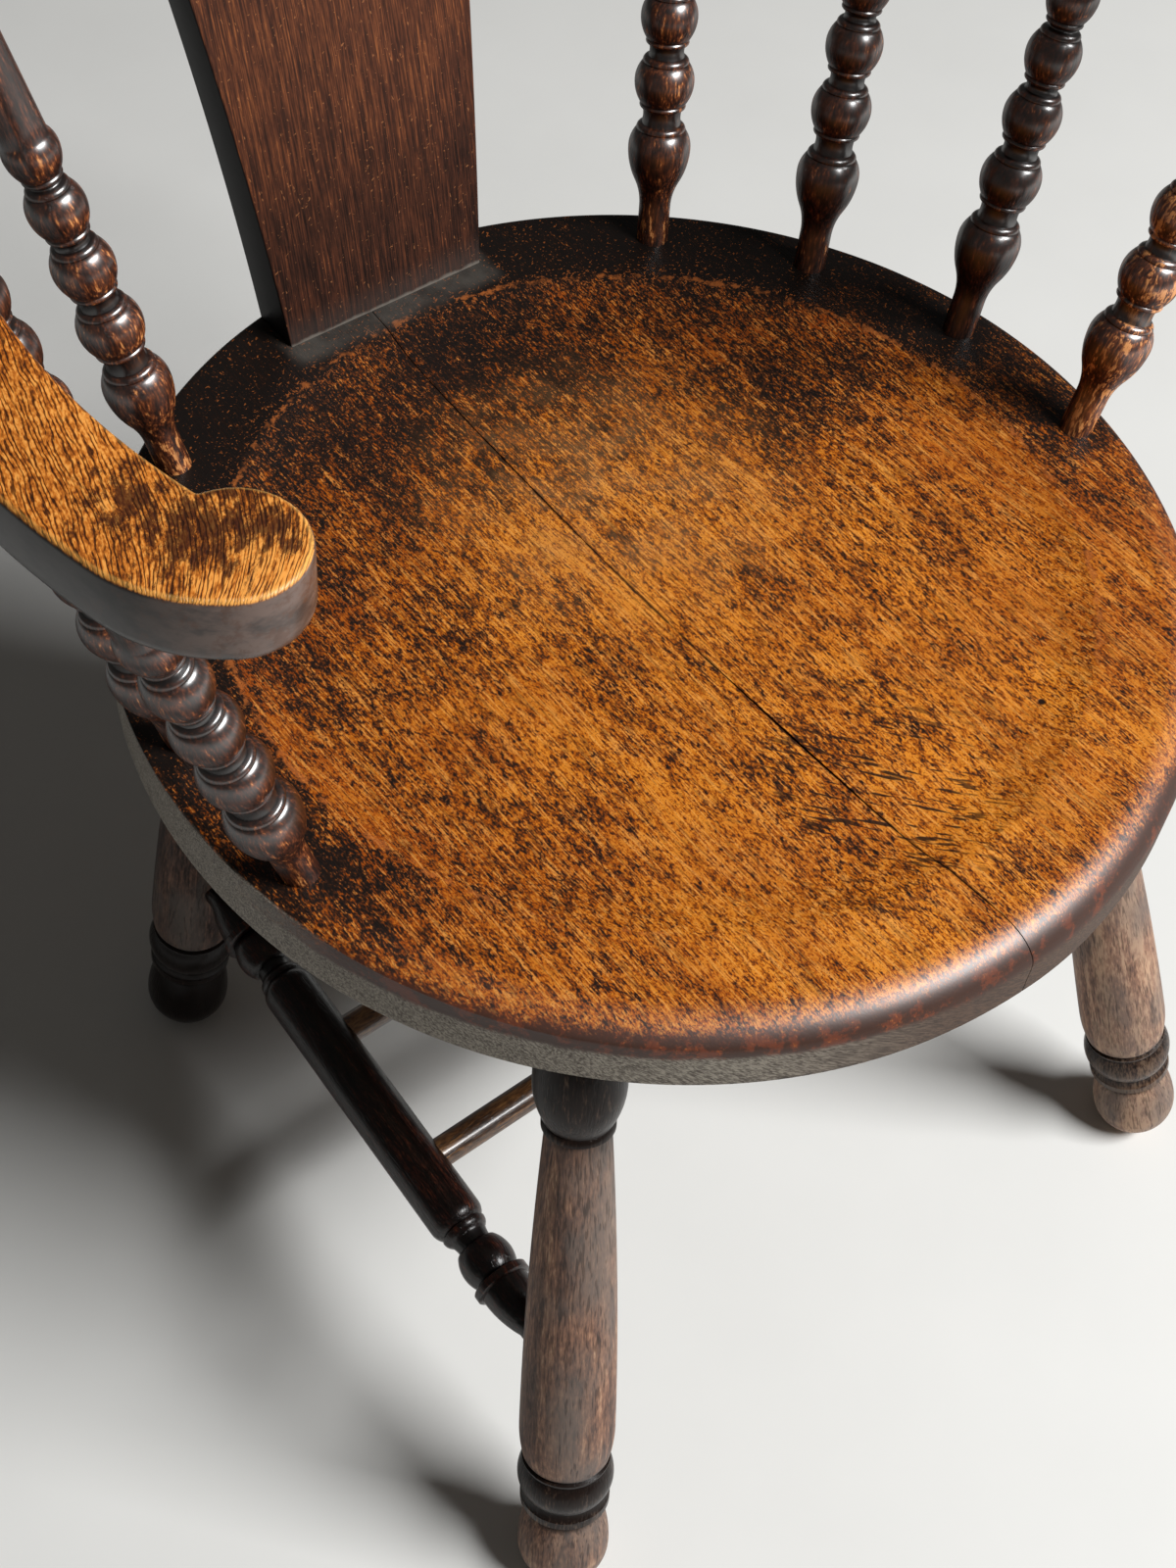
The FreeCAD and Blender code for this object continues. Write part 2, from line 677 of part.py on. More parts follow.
def crest_rail():
    inner = bow_inner_radius + crest_foot_inset
    outer = bow_outer_radius - crest_foot_inset
    top = arm_height + crest_height
    top_inner = inner + crest_lean
    top_outer = top_inner + crest_top_width
    corners = [(inner, arm_height), (outer, arm_height), (top_outer, top - crest_top_round),
               (top_outer - crest_top_round, top), (top_inner + crest_top_round, top),
               (top_inner, top - crest_top_round)]
    shape = ring_profile(corners, 2 * crest_half_angle, 90 - crest_half_angle)
    for side in sides.values():
        end = around(0, crest_half_angle, side)
        outward = unit(around(1, crest_half_angle, side))
        height = arm_height + crest_end_lip + crest_scoop_radius
        scoop = drill(end + point(0, 0, height), outward, crest_scoop_radius, 2 * bow_outer_radius)
        shape = shape.cut(scoop)
    for place in crest_screw_places():
        shape = shape.cut(crest_screw(place, glue_gap, drill_overrun))
    return shape


def build():
    nodes = {}
    nodes["seat_board_left"], nodes["seat_board_right"] = seat_boards()
    nodes["seat_dowels"] = Part.makeCompound([seat_dowel(middle) for middle in seat_dowel_places()])
    nodes["back_splat"] = back_splat()
    nodes["bow_dowels"] = Part.makeCompound([bow_dowel(middle) for middle in bow_dowel_places()])
    nodes["crest_rail"] = crest_rail()
    nodes["crest_screws"] = Part.makeCompound([crest_screw(place) for place in crest_screw_places()])
    for end in cross_shares:
        nodes["cross_stretcher_" + end] = cross_stretcher(end)
    for name, side in sides.items():
        nodes["arm_" + name] = arm(name)
        nodes["side_stretcher_" + name] = side_stretcher(side)
        for end in ("front", "back"):
            nodes["leg_" + end + "_" + name] = leg(end, side)
        for number in range(spindle_count):
            nodes["spindle_" + name + "_" + str(number + 1)] = spindle(number, name)
    return nodes


def middle_shift():
    # Sets the origin midway between the front of the front feet and the back of the bow.
    front_reach = leg_axis("front", sides["left"])[0].y - foot_radius
    return -(front_reach + bow_outer_radius) / 2


def main():
    os.makedirs("parts", exist_ok=True)
    shift = middle_shift()
    for name, shape in build().items():
        shape.translate(point(0, shift, 0))
        shape.exportStep("parts/" + name + ".step")
        print(name, len(shape.Solids), shape.isValid(), round(shape.Volume))


main()
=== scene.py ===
# Bobbin armchair in old dark oak: round dished seat, bow arms, flat splat, turned spindles and legs.
# Metres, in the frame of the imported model: +Z up, the sitter faces -Y, the sitter's left is +X.
import bpy
import bmesh
import math
from functools import reduce
from mathutils import Matrix, Vector


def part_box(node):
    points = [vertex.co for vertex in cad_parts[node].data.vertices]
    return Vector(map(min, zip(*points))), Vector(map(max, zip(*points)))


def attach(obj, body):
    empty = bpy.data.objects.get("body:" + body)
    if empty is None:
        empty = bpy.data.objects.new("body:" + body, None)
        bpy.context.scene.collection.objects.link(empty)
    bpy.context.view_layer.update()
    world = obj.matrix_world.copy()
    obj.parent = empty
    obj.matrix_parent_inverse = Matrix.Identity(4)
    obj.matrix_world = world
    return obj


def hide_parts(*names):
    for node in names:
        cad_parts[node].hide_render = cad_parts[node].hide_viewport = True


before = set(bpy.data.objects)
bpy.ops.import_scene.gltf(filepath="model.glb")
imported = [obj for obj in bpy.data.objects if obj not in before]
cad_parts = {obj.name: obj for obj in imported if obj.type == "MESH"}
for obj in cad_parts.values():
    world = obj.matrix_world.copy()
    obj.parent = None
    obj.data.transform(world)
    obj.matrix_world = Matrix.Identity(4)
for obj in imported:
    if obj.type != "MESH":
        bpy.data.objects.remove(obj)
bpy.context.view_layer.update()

# The places that everything else hangs on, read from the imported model.
seatLow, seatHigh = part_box("seat_board_left")
armLow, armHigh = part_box("arm_left")
middleY = (seatLow.y + seatHigh.y) / 2      # the middle of the round seat
seatRadius = (seatHigh.y - seatLow.y) / 2
seatTop = seatHigh.z
seatUnder = seatLow.z
armTop = armHigh.z
armUnder = armLow.z
bowWidth = 0.043
bowOuter = armHigh.y - middleY
bowInner = bowOuter - bowWidth
bowMiddle = (bowOuter + bowInner) / 2
sides = {"left": 1, "right": -1}
up = Vector((0, 0, 1))


def around(radius, angle, side=1, z=0.0):
    # A point round the middle of the seat: 0 degrees is straight back, and it grows towards the arm.
    turn = math.radians(angle)
    return Vector((side * radius * math.sin(turn), middleY + radius * math.cos(turn), z))


def between(low, high, share):
    return low + (high - low) * share


def clamp(value, low=0.0, high=1.0):
    return max(low, min(high, value))


def ease(low, high, value):
    # 0 below low, 1 above high, and smooth in between.
    share = clamp((value - low) / (high - low))
    return share * share * (3 - 2 * share)


# Building blocks for meshes. An outline is a list of heights and radii.

def bendTo(outline, height, radius, hollow=False, steps=6):
    # An arc that runs level at its wider end, or at its narrower end where it is hollow.
    lastHeight, lastRadius = outline[-1]
    spread = radius - lastRadius
    rise = height - lastHeight
    bend = (rise ** 2 + spread ** 2) / (2 * abs(spread))
    levelAtEnd = (spread > 0) != hollow
    levelHeight, levelRadius = (height, radius) if levelAtEnd else (lastHeight, lastRadius)
    sweep = math.atan2(rise, bend - abs(spread))
    for step in range(1, steps + 1):
        share = step / steps
        angle = sweep * (1 - share) if levelAtEnd else sweep * share
        run = bend * math.sin(angle) * (-1 if levelAtEnd else 1)
        drop = bend * (1 - math.cos(angle)) * (-1 if hollow else 1)
        outline.append((levelHeight + run, levelRadius - drop))


def runTo(outline, height, radius, swell=0.0, steps=6):
    # A straight run, or a shallow curve that stands out from it by swell.
    lastHeight, lastRadius = outline[-1]
    for step in range(1, steps + 1):
        share = step / steps
        outline.append((between(lastHeight, height, share),
                        between(lastRadius, radius, share) + 4 * swell * share * (1 - share)))


def radiusAt(outline, height):
    for low, high in zip(outline, outline[1:]):
        if height <= high[0]:
            share = clamp((height - low[0]) / max(high[0] - low[0], 1e-6))
            return between(low[1], high[1], share)
    return outline[-1][1]


def spinOutline(bm, outline, steps, y=0.0):
    line = [bm.verts.new((radius, y, height)) for height, radius in outline]
    edges = [bm.edges.new(pair) for pair in zip(line, line[1:])]
    bmesh.ops.spin(bm, geom=line + edges, cent=(0, y, 0), axis=(0, 0, 1), dvec=(0, 0, 0),
                   angle=2 * math.pi, steps=steps, use_merge=True)
    bmesh.ops.remove_doubles(bm, verts=bm.verts[:], dist=1e-6)


def cutAway(bm, point, beyond):
    # Takes off what lies beyond a plane, and closes the cut.
    cut = bmesh.ops.bisect_plane(bm, geom=bm.verts[:] + bm.edges[:] + bm.faces[:], dist=1e-6,
                                 plane_co=point, plane_no=beyond, clear_outer=True)
    rim = [item for item in cut["geom_cut"] if isinstance(item, bmesh.types.BMEdge)]
    bmesh.ops.edgeloop_fill(bm, edges=rim)


def roundEdges(bm, edges, offset, segments):
    bmesh.ops.bevel(bm, geom=edges, affect="EDGES", offset=offset, segments=segments, profile=0.5,
                    material=-1)


def addObject(bm, name, material):
    mesh = bpy.data.meshes.new(name)
    bm.to_mesh(mesh)
    bm.free()
    mesh.materials.append(material)
    made = bpy.data.objects.new(name, mesh)
    bpy.context.scene.collection.objects.link(made)
    return made


def finishMesh(bm, node, material, sharpAngle=38):
    # Smooth faces with crisp edges where the surface turns sharply, then onto the chair in a node's place.
    bmesh.ops.recalc_face_normals(bm, faces=bm.faces[:])
    for face in bm.faces:
        face.smooth = True
    for edge in bm.edges:
        if len(edge.link_faces) == 2:
            edge.smooth = edge.calc_face_angle(0) < math.radians(sharpAngle)
    first, *others = node.split("_")
    piece = addObject(bm, first + "".join(word.capitalize() for word in others), material)
    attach(piece, "root")
    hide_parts(node)


def turnPiece(node, outline, start, end, material, steps, grainStart,
              rub=(0.008, 0.003), rubbed=0.0, footWear=0.0, polish=(), floor=None):
    # Spins an outline on the lathe, then sets it on the line from start towards end.
    # "turned" keeps the place on the lathe for the grain, "proud" is high where hands and cloth rub,
    # "polish" marks the members that stay dark and glossy, and "rubbed" is the wear of the whole piece.
    bm = bmesh.new()
    spinOutline(bm, outline, steps)
    bmesh.ops.edgeloop_fill(bm, edges=[edge for edge in bm.edges if edge.is_boundary])
    turnedLayer = bm.verts.layers.float_vector.new("turned")
    proudLayer, polishLayer, rubbedLayer = (bm.verts.layers.float.new(label)
                                            for label in ("proud", "polish", "rubbed"))
    shift = Vector((0.37, 0.61, 1.0)) * grainStart      # so that no two pieces show the same grain
    reach, depth = rub
    probe = 0.004       # how far up and down the slope of the outline is felt
    usual = {}
    for vert in bm.verts:
        height = vert.co.z
        key = round(height, 6)
        if key not in usual:
            spread = [radiusAt(outline, height + reach * step / 3) for step in range(-3, 4)]
            usual[key] = sum(spread) / len(spread)
        vert[turnedLayer] = vert.co + shift
        vert[proudLayer] = clamp(0.5 + (math.hypot(vert.co.x, vert.co.y) - usual[key]) / depth / 2)
        # the undersides of swellings are rubbed a little, and a spindle's foot more
        lower = clamp((radiusAt(outline, height + probe) - radiusAt(outline, height - probe)) / 0.006)
        foot = ease(footWear + 1e-6, 0.0, abs(height))
        vert[rubbedLayer] = rubbed + 0.08 * lower + 0.26 * foot
        vert[polishLayer] = max([ease(low - 0.002, low, height) * ease(high + 0.002, high, height)
                                 for low, high in polish] or [0.0])
    lean = up.rotation_difference((end - start).normalized()).to_matrix().to_4x4()
    bmesh.ops.transform(bm, matrix=Matrix.Translation(start) @ lean, verts=bm.verts[:])
    if floor is not None:
        cutAway(bm, (0, 0, floor), (0, 0, -1))
    finishMesh(bm, node, material)


# Building blocks for materials.

class Wire:
    # The output of a shader node, which adds, subtracts and multiplies as a number does.
    def __init__(self, socket):
        self.socket = socket
        self.tree = socket.id_data

    def __add__(self, other):
        return maths("ADD", self, other)

    def __radd__(self, other):
        return self if other == 0 else maths("ADD", other, self)        # sum() starts from 0

    def __sub__(self, other):
        return maths("SUBTRACT", self, other)

    def __rsub__(self, other):
        return maths("SUBTRACT", other, self)

    def __mul__(self, other):
        return maths("MULTIPLY", self, other)

    def __abs__(self):
        return maths("ABSOLUTE", self)


def addNode(tree, kind, **settings):
    node = tree.nodes.new(kind)
    for key, value in settings.items():
        setattr(node, key, value)
    return node


def feed(socket, value):
    # Links a wire to a socket, or sets the socket to a plain value. None leaves it alone.
    if isinstance(value, Wire):
        socket.id_data.links.new(value.socket, socket)
    elif value is not None:
        socket.default_value = value


def through(kind, *values, output=0, **settings):
    # Sends values through a new node, in the order of its inputs, in the tree that the wires are in.
    tree = next(value.tree for value in values if isinstance(value, Wire))
    node = addNode(tree, kind, **settings)
    for socket, value in zip(node.inputs, values):
        feed(socket, value)
    return Wire(node.outputs[output])


def maths(operation, first, second=None):
    return through("ShaderNodeMath", first, second, operation=operation)


def larger(first, second):
    return maths("MAXIMUM", first, second)


def smaller(first, second):
    return maths("MINIMUM", first, second)


def remap(value, low, high, newLow=0.0, newHigh=1.0, smooth=True):
    # low becomes newLow and high becomes newHigh, and low may be above high.
    return through("ShaderNodeMapRange", value, low, high, newLow, newHigh,
                 interpolation_type="SMOOTHSTEP" if smooth else "LINEAR")


def blend(under, over, share):
    skipped = [None] * 5        # the node's inputs for plain numbers and vectors
    return through("ShaderNodeMix", share, *skipped, under, over, output=2, data_type="RGBA")


def paint(colour, shade, *layers):
    # Lays named colours over a first one, each by its own share.
    for name, share in layers:
        colour = blend(colour, shade[name], share)
    return colour


def tint(red, green, blue):
    # A colour given as it looks on a screen, 0 to 255, in the linear values that Blender mixes.
    linear = []
    for part in (red, green, blue):
        share = part / 255
        linear.append(share / 12.92 if share < 0.04045 else ((share + 0.055) / 1.055) ** 2.4)
    return (*linear, 1.0)


def shadesOf(look):
    return {key: tint(*value) for key, value in look.items() if isinstance(value, tuple) and len(value) == 3}


def ramp(value, stops):
    node = addNode(value.tree, "ShaderNodeValToRGB")
    elements = node.color_ramp.elements
    while len(elements) < len(stops):
        elements.new(1.0)
    for element, (position, colour) in zip(elements, stops):
        element.position = position
        element.color = tint(*colour)
    feed(node.inputs[0], value)
    return Wire(node.outputs[0])


def noise(place, scale, detail=3.0, roughness=0.55):
    node = addNode(place.tree, "ShaderNodeTexNoise")
    for label, value in (("Vector", place), ("Scale", scale), ("Detail", detail), ("Roughness", roughness)):
        feed(node.inputs[label], value)
    return Wire(node.outputs[0])


def stretch(place, scale=(1, 1, 1), location=(0, 0, 0), rotation=(0, 0, 0)):
    return through("ShaderNodeMapping", place, location, rotation, scale)


def parts(place):
    split = addNode(place.tree, "ShaderNodeSeparateXYZ")
    feed(split.inputs[0], place)
    return [Wire(output) for output in split.outputs]


def join(x, y, z):
    return through("ShaderNodeCombineXYZ", x, y, z)


def distanceFrom(place, centre, reach=(1, 1)):
    # Level distance from a centre, in shares of a reach that may differ in X and Y.
    wide, deep = reach
    moved = stretch(place, (1 / wide, 1 / deep, 0), (-centre[0] / wide, -centre[1] / deep, 0))
    return through("ShaderNodeVectorMath", moved, operation="LENGTH", output="Value")


def source(tree, kind, output, **settings):
    return Wire(addNode(tree, kind, **settings).outputs[output])


def objectPlace(tree):
    return source(tree, "ShaderNodeTexCoord", "Object")


def chairPlace(tree):
    # The object's own place, measured from the middle of the round seat.
    return stretch(objectPlace(tree), location=(0, -middleY, 0))


def attribute(tree, name, output="Fac"):
    return source(tree, "ShaderNodeAttribute", output, attribute_name=name)


def facing(tree, axis):
    # The surface's own direction along one axis of the chair: 1 faces along it, -1 away.
    return parts(source(tree, "ShaderNodeNewGeometry", "Normal"))[axis]


def newGroup(name, inputs, outputs):
    # Every group works on a place, and gives plain numbers.
    group = bpy.data.node_groups.new(name, "ShaderNodeTree")
    group.interface.new_socket(name="Vector", in_out="INPUT", socket_type="NodeSocketVector")
    for label, value in inputs.items():
        socket = group.interface.new_socket(name=label, in_out="INPUT", socket_type="NodeSocketFloat")
        socket.default_value = value
    for label in outputs:
        group.interface.new_socket(name=label, in_out="OUTPUT", socket_type="NodeSocketFloat")
    start = addNode(group, "NodeGroupInput")
    end = addNode(group, "NodeGroupOutput")
    return group, [Wire(start.outputs[label]) for label in ("Vector", *inputs)], end.inputs


def useGroup(group, place, **values):
    node = addNode(place.tree, "ShaderNodeGroup", node_tree=group)
    for label, value in {"Vector": place, **values}.items():
        feed(node.inputs[label], value)
    return {output.name: Wire(output) for output in node.outputs}


def makeGrainGroup():
    # Oak along Z: slow tone, broad streaks, fine fibre, and short dark pores that crowd into bands.
    group, (place, fine), result = newGroup(
        "oakGrain", {"Fineness": 1.0}, ["Tone", "Streak", "Fibre", "Pores"])
    wander = noise(stretch(place, (1, 1, 0.4)), 16.0, 2.0)
    bent = through("ShaderNodeVectorMath", wander, (0.007, 0.007, 0.0), place, operation="MULTIPLY_ADD")
    layers = {}
    for label, slim, size, detail, roughness in (
            ("Tone", 0.5, 22.0, 3.0, 0.55), ("Streak", 0.05, 190.0, 3.0, 0.6),
            ("Fibre", 0.035, 1150.0, 2.0, 0.6), ("Pores", 0.12, 900.0, 1.0, 0.5),
            ("Band", 0.06, 130.0, 2.0, 0.5)):
        scale = size if label == "Tone" else fine * size
        layers[label] = noise(stretch(bent, (1, 1, slim)), scale, detail, roughness)
    crowd = remap(layers["Band"], 0.35, 0.65, -0.06, 0.06)
    feed(result["Tone"], remap(layers["Tone"], 0.36, 0.64))
    feed(result["Streak"], remap(layers["Streak"], 0.34, 0.66))
    feed(result["Fibre"], remap(layers["Fibre"], 0.34, 0.66))
    feed(result["Pores"], remap(layers["Pores"] + crowd, 0.54, 0.66))
    return group


def makeFinishGroup():
    # How thick the dark finish lies on rubbed wood: 0 is bare, 1 is thick, with flecks at four sizes.
    group, (place, wear, fine, contrast), result = newGroup(
        "finishLeft", {"Wear": 0.5, "Fineness": 1.0, "Contrast": 1.0}, ["Finish"])
    flecks = ((0.8, 26.0, 0.13), (0.6, 105.0, 0.13), (0.35, 400.0, 0.30), (0.45, 1050.0, 0.44))
    rough = sum(noise(stretch(place, (1, 1, slim)), fine * size, 2.0, 0.6) * weight
                for slim, size, weight in flecks)
    whole = (rough - 0.5) * 3.0 * contrast + (0.5 - wear) * 0.8 + 0.5
    feed(result["Finish"], remap(whole, 0.0, 1.0, smooth=False))
    return group


def makeNickGroup():
    # Short thin scratches in three directions.
    group, (place, amount), result = newGroup("nicks", {"Amount": 0.5}, ["Nicks"])
    limit = remap(amount, 0.0, 1.0, 0.76, 0.58, smooth=False)
    cuts = []
    for turn, size, slim in ((12, 760.0, 0.3), (64, 900.0, 0.6), (118, 820.0, 0.4)):
        laid = stretch(place, location=(turn / 40, 0, 0), rotation=(0, math.radians(turn), 0))
        cuts.append(remap(noise(stretch(laid, (1, 1, slim)), size, 1.0, 0.6) - limit, 0.0, 0.05))
    feed(result["Nicks"], reduce(larger, cuts))
    return group


grainGroup = makeGrainGroup()
finishGroup = makeFinishGroup()
nickGroup = makeNickGroup()


def newMaterial(name, roughness=0.4, coatRoughness=0.2, specular=0.5, coatBend=1.5, sheen=0.0):
    material = bpy.data.materials.new(name)
    material.use_nodes = True
    shader = material.node_tree.nodes["Principled BSDF"]
    for label, value in (("Roughness", roughness), ("Coat Roughness", coatRoughness), ("Coat IOR", coatBend),
                         ("Specular IOR Level", specular), ("Sheen Weight", sheen)):
        shader.inputs[label].default_value = value
    return material, material.node_tree, shader


reliefHeight = 0.0003       # how deep the fine relief of the wood is


def dress(shader, colour, roughness=None, relief=None, strength=0.5):
    # Relief says how high the surface stands, in shares of reliefHeight.
    feed(shader.inputs["Base Color"], colour)
    feed(shader.inputs["Roughness"], roughness)
    if relief is not None:
        bump = addNode(shader.id_data, "ShaderNodeBump")
        for label, value in (("Height", relief), ("Strength", strength), ("Distance", reliefHeight)):
            feed(bump.inputs[label], value)
        feed(shader.inputs["Normal"], Wire(bump.outputs[0]))


def glossLeft(tree, edge=0.2):
    # Old varnish is too rough to mirror the floor at a slant, and dull where no hand has polished it below.
    weight = addNode(tree, "ShaderNodeLayerWeight")
    slant = remap(Wire(weight.outputs["Facing"]), 0.50, 0.92, 1.0, edge)
    return slant * remap(facing(tree, 2), -0.15, 0.50, 0.08, 1.0)


# The seat's wear, and the dirt and painted shade round the feet of the spindles, follow the spindles, so
# their shape comes before it.
spindleShape = {
    "drawnLength": 0.246,       # seat to arm, and each spindle is then drawn out to its own length
    "seatInset": 0.0186,
    "seatAngles": {"left": [38.4, 59.0, 80.4, 101.4], "right": [39.2, 59.5, 80.4, 101.3]},
    "bowAngles": {"left": [37.9, 57.7, 78.4, 97.5], "right": [40.8, 59.0, 78.4, 97.0]},
    "bowInsets": {"left": [0.0105, 0.012, 0.0105, 0.021], "right": [0.013, 0.018, 0.013, 0.018]},
    "footRadius": 0.0082, "socket": 0.0195, "footStraight": 0.018,
    "bulbHeight": 0.0505, "bulbRadius": 0.0161, "waistRise": 0.0145, "waistRadius": 0.0117,
    "bobbins": 4, "firstStep": 0.0351, "stepLoss": 0.00206, "radiusLoss": 0.0009,
    "upperReach": 0.009, "lowerReach": 0.0115, "shoulderLoss": 0.0029,
    "grooveDepth": 0.0007, "grooveWidth": 0.0005, "beadLoss": 0.0034, "collarLoss": 0.0033,
    "collarHeight": 0.0024, "neckLoss": 0.006, "neckHollow": 0.0005,
    "shaftReach": 0.007, "shaftRoot": 0.0102, "shaftHead": 0.0084,
    "rubbed": {"left": [0.06, 0.0, -0.02, 0.26], "right": [0.1, 0.04, 0.04, 0.04]},
}


# The seat, seen from above: X grows towards the sitter's left and Y towards the back, from its middle.
seatFinish = {
    "stops": [(0.08, (216, 134, 40)), (0.24, (186, 102, 16)), (0.38, (152, 76, 10)), (0.50, (104, 51, 15)),
              (0.60, (68, 36, 18)), (0.74, (42, 26, 18)), (0.92, (22, 17, 15))],
    # the haze colour here is a painted sheen, a pale milky reflection over the polished middle of the dish
    "red": (136, 54, 10), "haze": (176, 128, 80), "fibreLight": (236, 170, 88), "pore": (34, 19, 12),
    "dust": (92, 88, 82), "band": (92, 70, 56), "bandDark": (54, 41, 34), "rubbed": (178, 100, 46),
    "rollRed": (118, 54, 24), "rollDark": (50, 29, 19), "bandLeft": (164, 156, 142),
    "frontWear": 0.80, "backWear": 0.10, "rollWear": 0.66, "rimLoss": 0.5, "sideLoss": 0.04,
    "flameCentre": (-0.005, -0.155), "flameReach": (0.075, 0.080), "flameTurn": 38.0,
    "polishedCentre": (0.012, 0.050), "polishedReach": (0.11, 0.11),
    # each spot is a centre, how far it reaches, and how much darker it is
    "darkSpots": [((-0.130, 0.030), (0.07, 0.06), 0.12), ((-0.218, -0.08), (0.026, 0.045), 0.20),
                  ((0.206, -0.075), (0.022, 0.045), 0.12), ((-0.055, -0.045), (0.02, 0.05), 0.12),
                  ((-0.150, -0.075), (0.06, 0.09), 0.17), ((0.130, 0.020), (0.07, 0.08), 0.20),
                  ((-0.005, -0.150), (0.08, 0.07), 0.10), ((0.040, -0.030), (0.025, 0.02), 0.12),
                  ((-0.030, 0.045), (0.035, 0.035), -0.16), ((0.125, 0.060), (0.07, 0.05), 0.10),
                  ((0.140, -0.060), (0.06, 0.05), 0.20), ((-0.080, -0.190), (0.05, 0.04), -0.06),
                  ((0.0, 0.150), (0.10, 0.04), 0.10), ((-0.110, -0.150), (0.05, 0.05), -0.08),
                  ((0.110, -0.145), (0.05, 0.05), -0.09), ((0.060, -0.200), (0.06, 0.035), -0.10),
                  ((0.0, -0.060), (0.06, 0.05), 0.08), ((0.150, 0.185), (0.06, 0.04), -0.08)],
    "ridge": 0.2045, "joint": (-0.018, -0.012, 0.19), "knot": (0.0905, -0.161),
}


def jointAt(y):
    # Where the glue line between the boards runs, for a place along the seat.
    middle, end, reach = seatFinish["joint"]
    return middle + (end - middle) * (y / reach) ** 2


def seatWearAndShade(place, x, y, z, radius):
    # 1 where sitting has rubbed the finish off, 0 where it is whole; lower round each spindle's foot, where
    # dirt and painted shade darken the seat.
    look = seatFinish
    wear = remap(y, -0.02, 0.20, look["frontWear"], look["backWear"], smooth=False)
    wear += (noise(stretch(place, (1, 0.6, 1)), 17.0, 3.0) - 0.5) * 0.6
    wear -= remap(abs(x - 0.015), 0.08, 0.20) * remap(y, -0.16, -0.02) * look["sideLoss"]
    polished = remap(distanceFrom(place, look["polishedCentre"], look["polishedReach"]), 1.1, 0.2)
    wear += polished * 0.12
    for centre, reach, loss in look["darkSpots"]:
        wear -= remap(distanceFrom(place, centre, reach), 1.1, 0.2) * loss
    # a darker ring round each spindle's foot: partly dirt, partly painted shade where the spindle meets the
    # seat
    for name, side in sides.items():
        for angle in spindleShape["seatAngles"][name]:
            foot = around(seatRadius - spindleShape["seatInset"], angle, side)
            wear -= remap(distanceFrom(place, (foot.x, foot.y - middleY)), 0.028, 0.011) * 0.30
    wear -= remap(radius, 0.199, 0.209) * remap(y, -0.15, 0.0) * look["rimLoss"]
    low = remap(z, seatTop - 0.0016, seatTop - 0.0062)
    roll = low * remap(radius, 0.236, 0.241) * remap(y, -0.03, -0.10)
    return wear - roll * look["rollWear"], roll, polished


def seatEdge(place, x, y, z, radius, shade):
    # The plain turned edge under the rolled front, and where it begins.
    slope = stretch(place, rotation=(math.radians(25), math.radians(55), 0))
    grain = useGroup(grainGroup, stretch(slope, (1, 1, 2)), Fineness=1.2)
    light = blend(shade["band"], shade["bandLeft"], remap(x, -0.04, -0.15))
    edge = blend(shade["bandDark"], light, remap(grain["Fibre"], 0.0, 1.0, 0.3, 0.9))
    chips = remap(noise(place, 240.0, 2.0), 0.62, 0.66) * remap(z, seatUnder + 0.008, seatUnder)
    edge = paint(edge, shade, ("bandDark", grain["Pores"] * 0.6), ("pore", chips * 0.7))
    below = remap(z + noise(place, 60.0, 4.0) * 0.006, seatTop - 0.009, seatTop - 0.013)
    outside = remap(radius, 0.2535, 0.2545) * remap(y, -0.09, -0.02)
    return edge, larger(below, outside * remap(z, seatTop - 0.001, seatTop - 0.003))


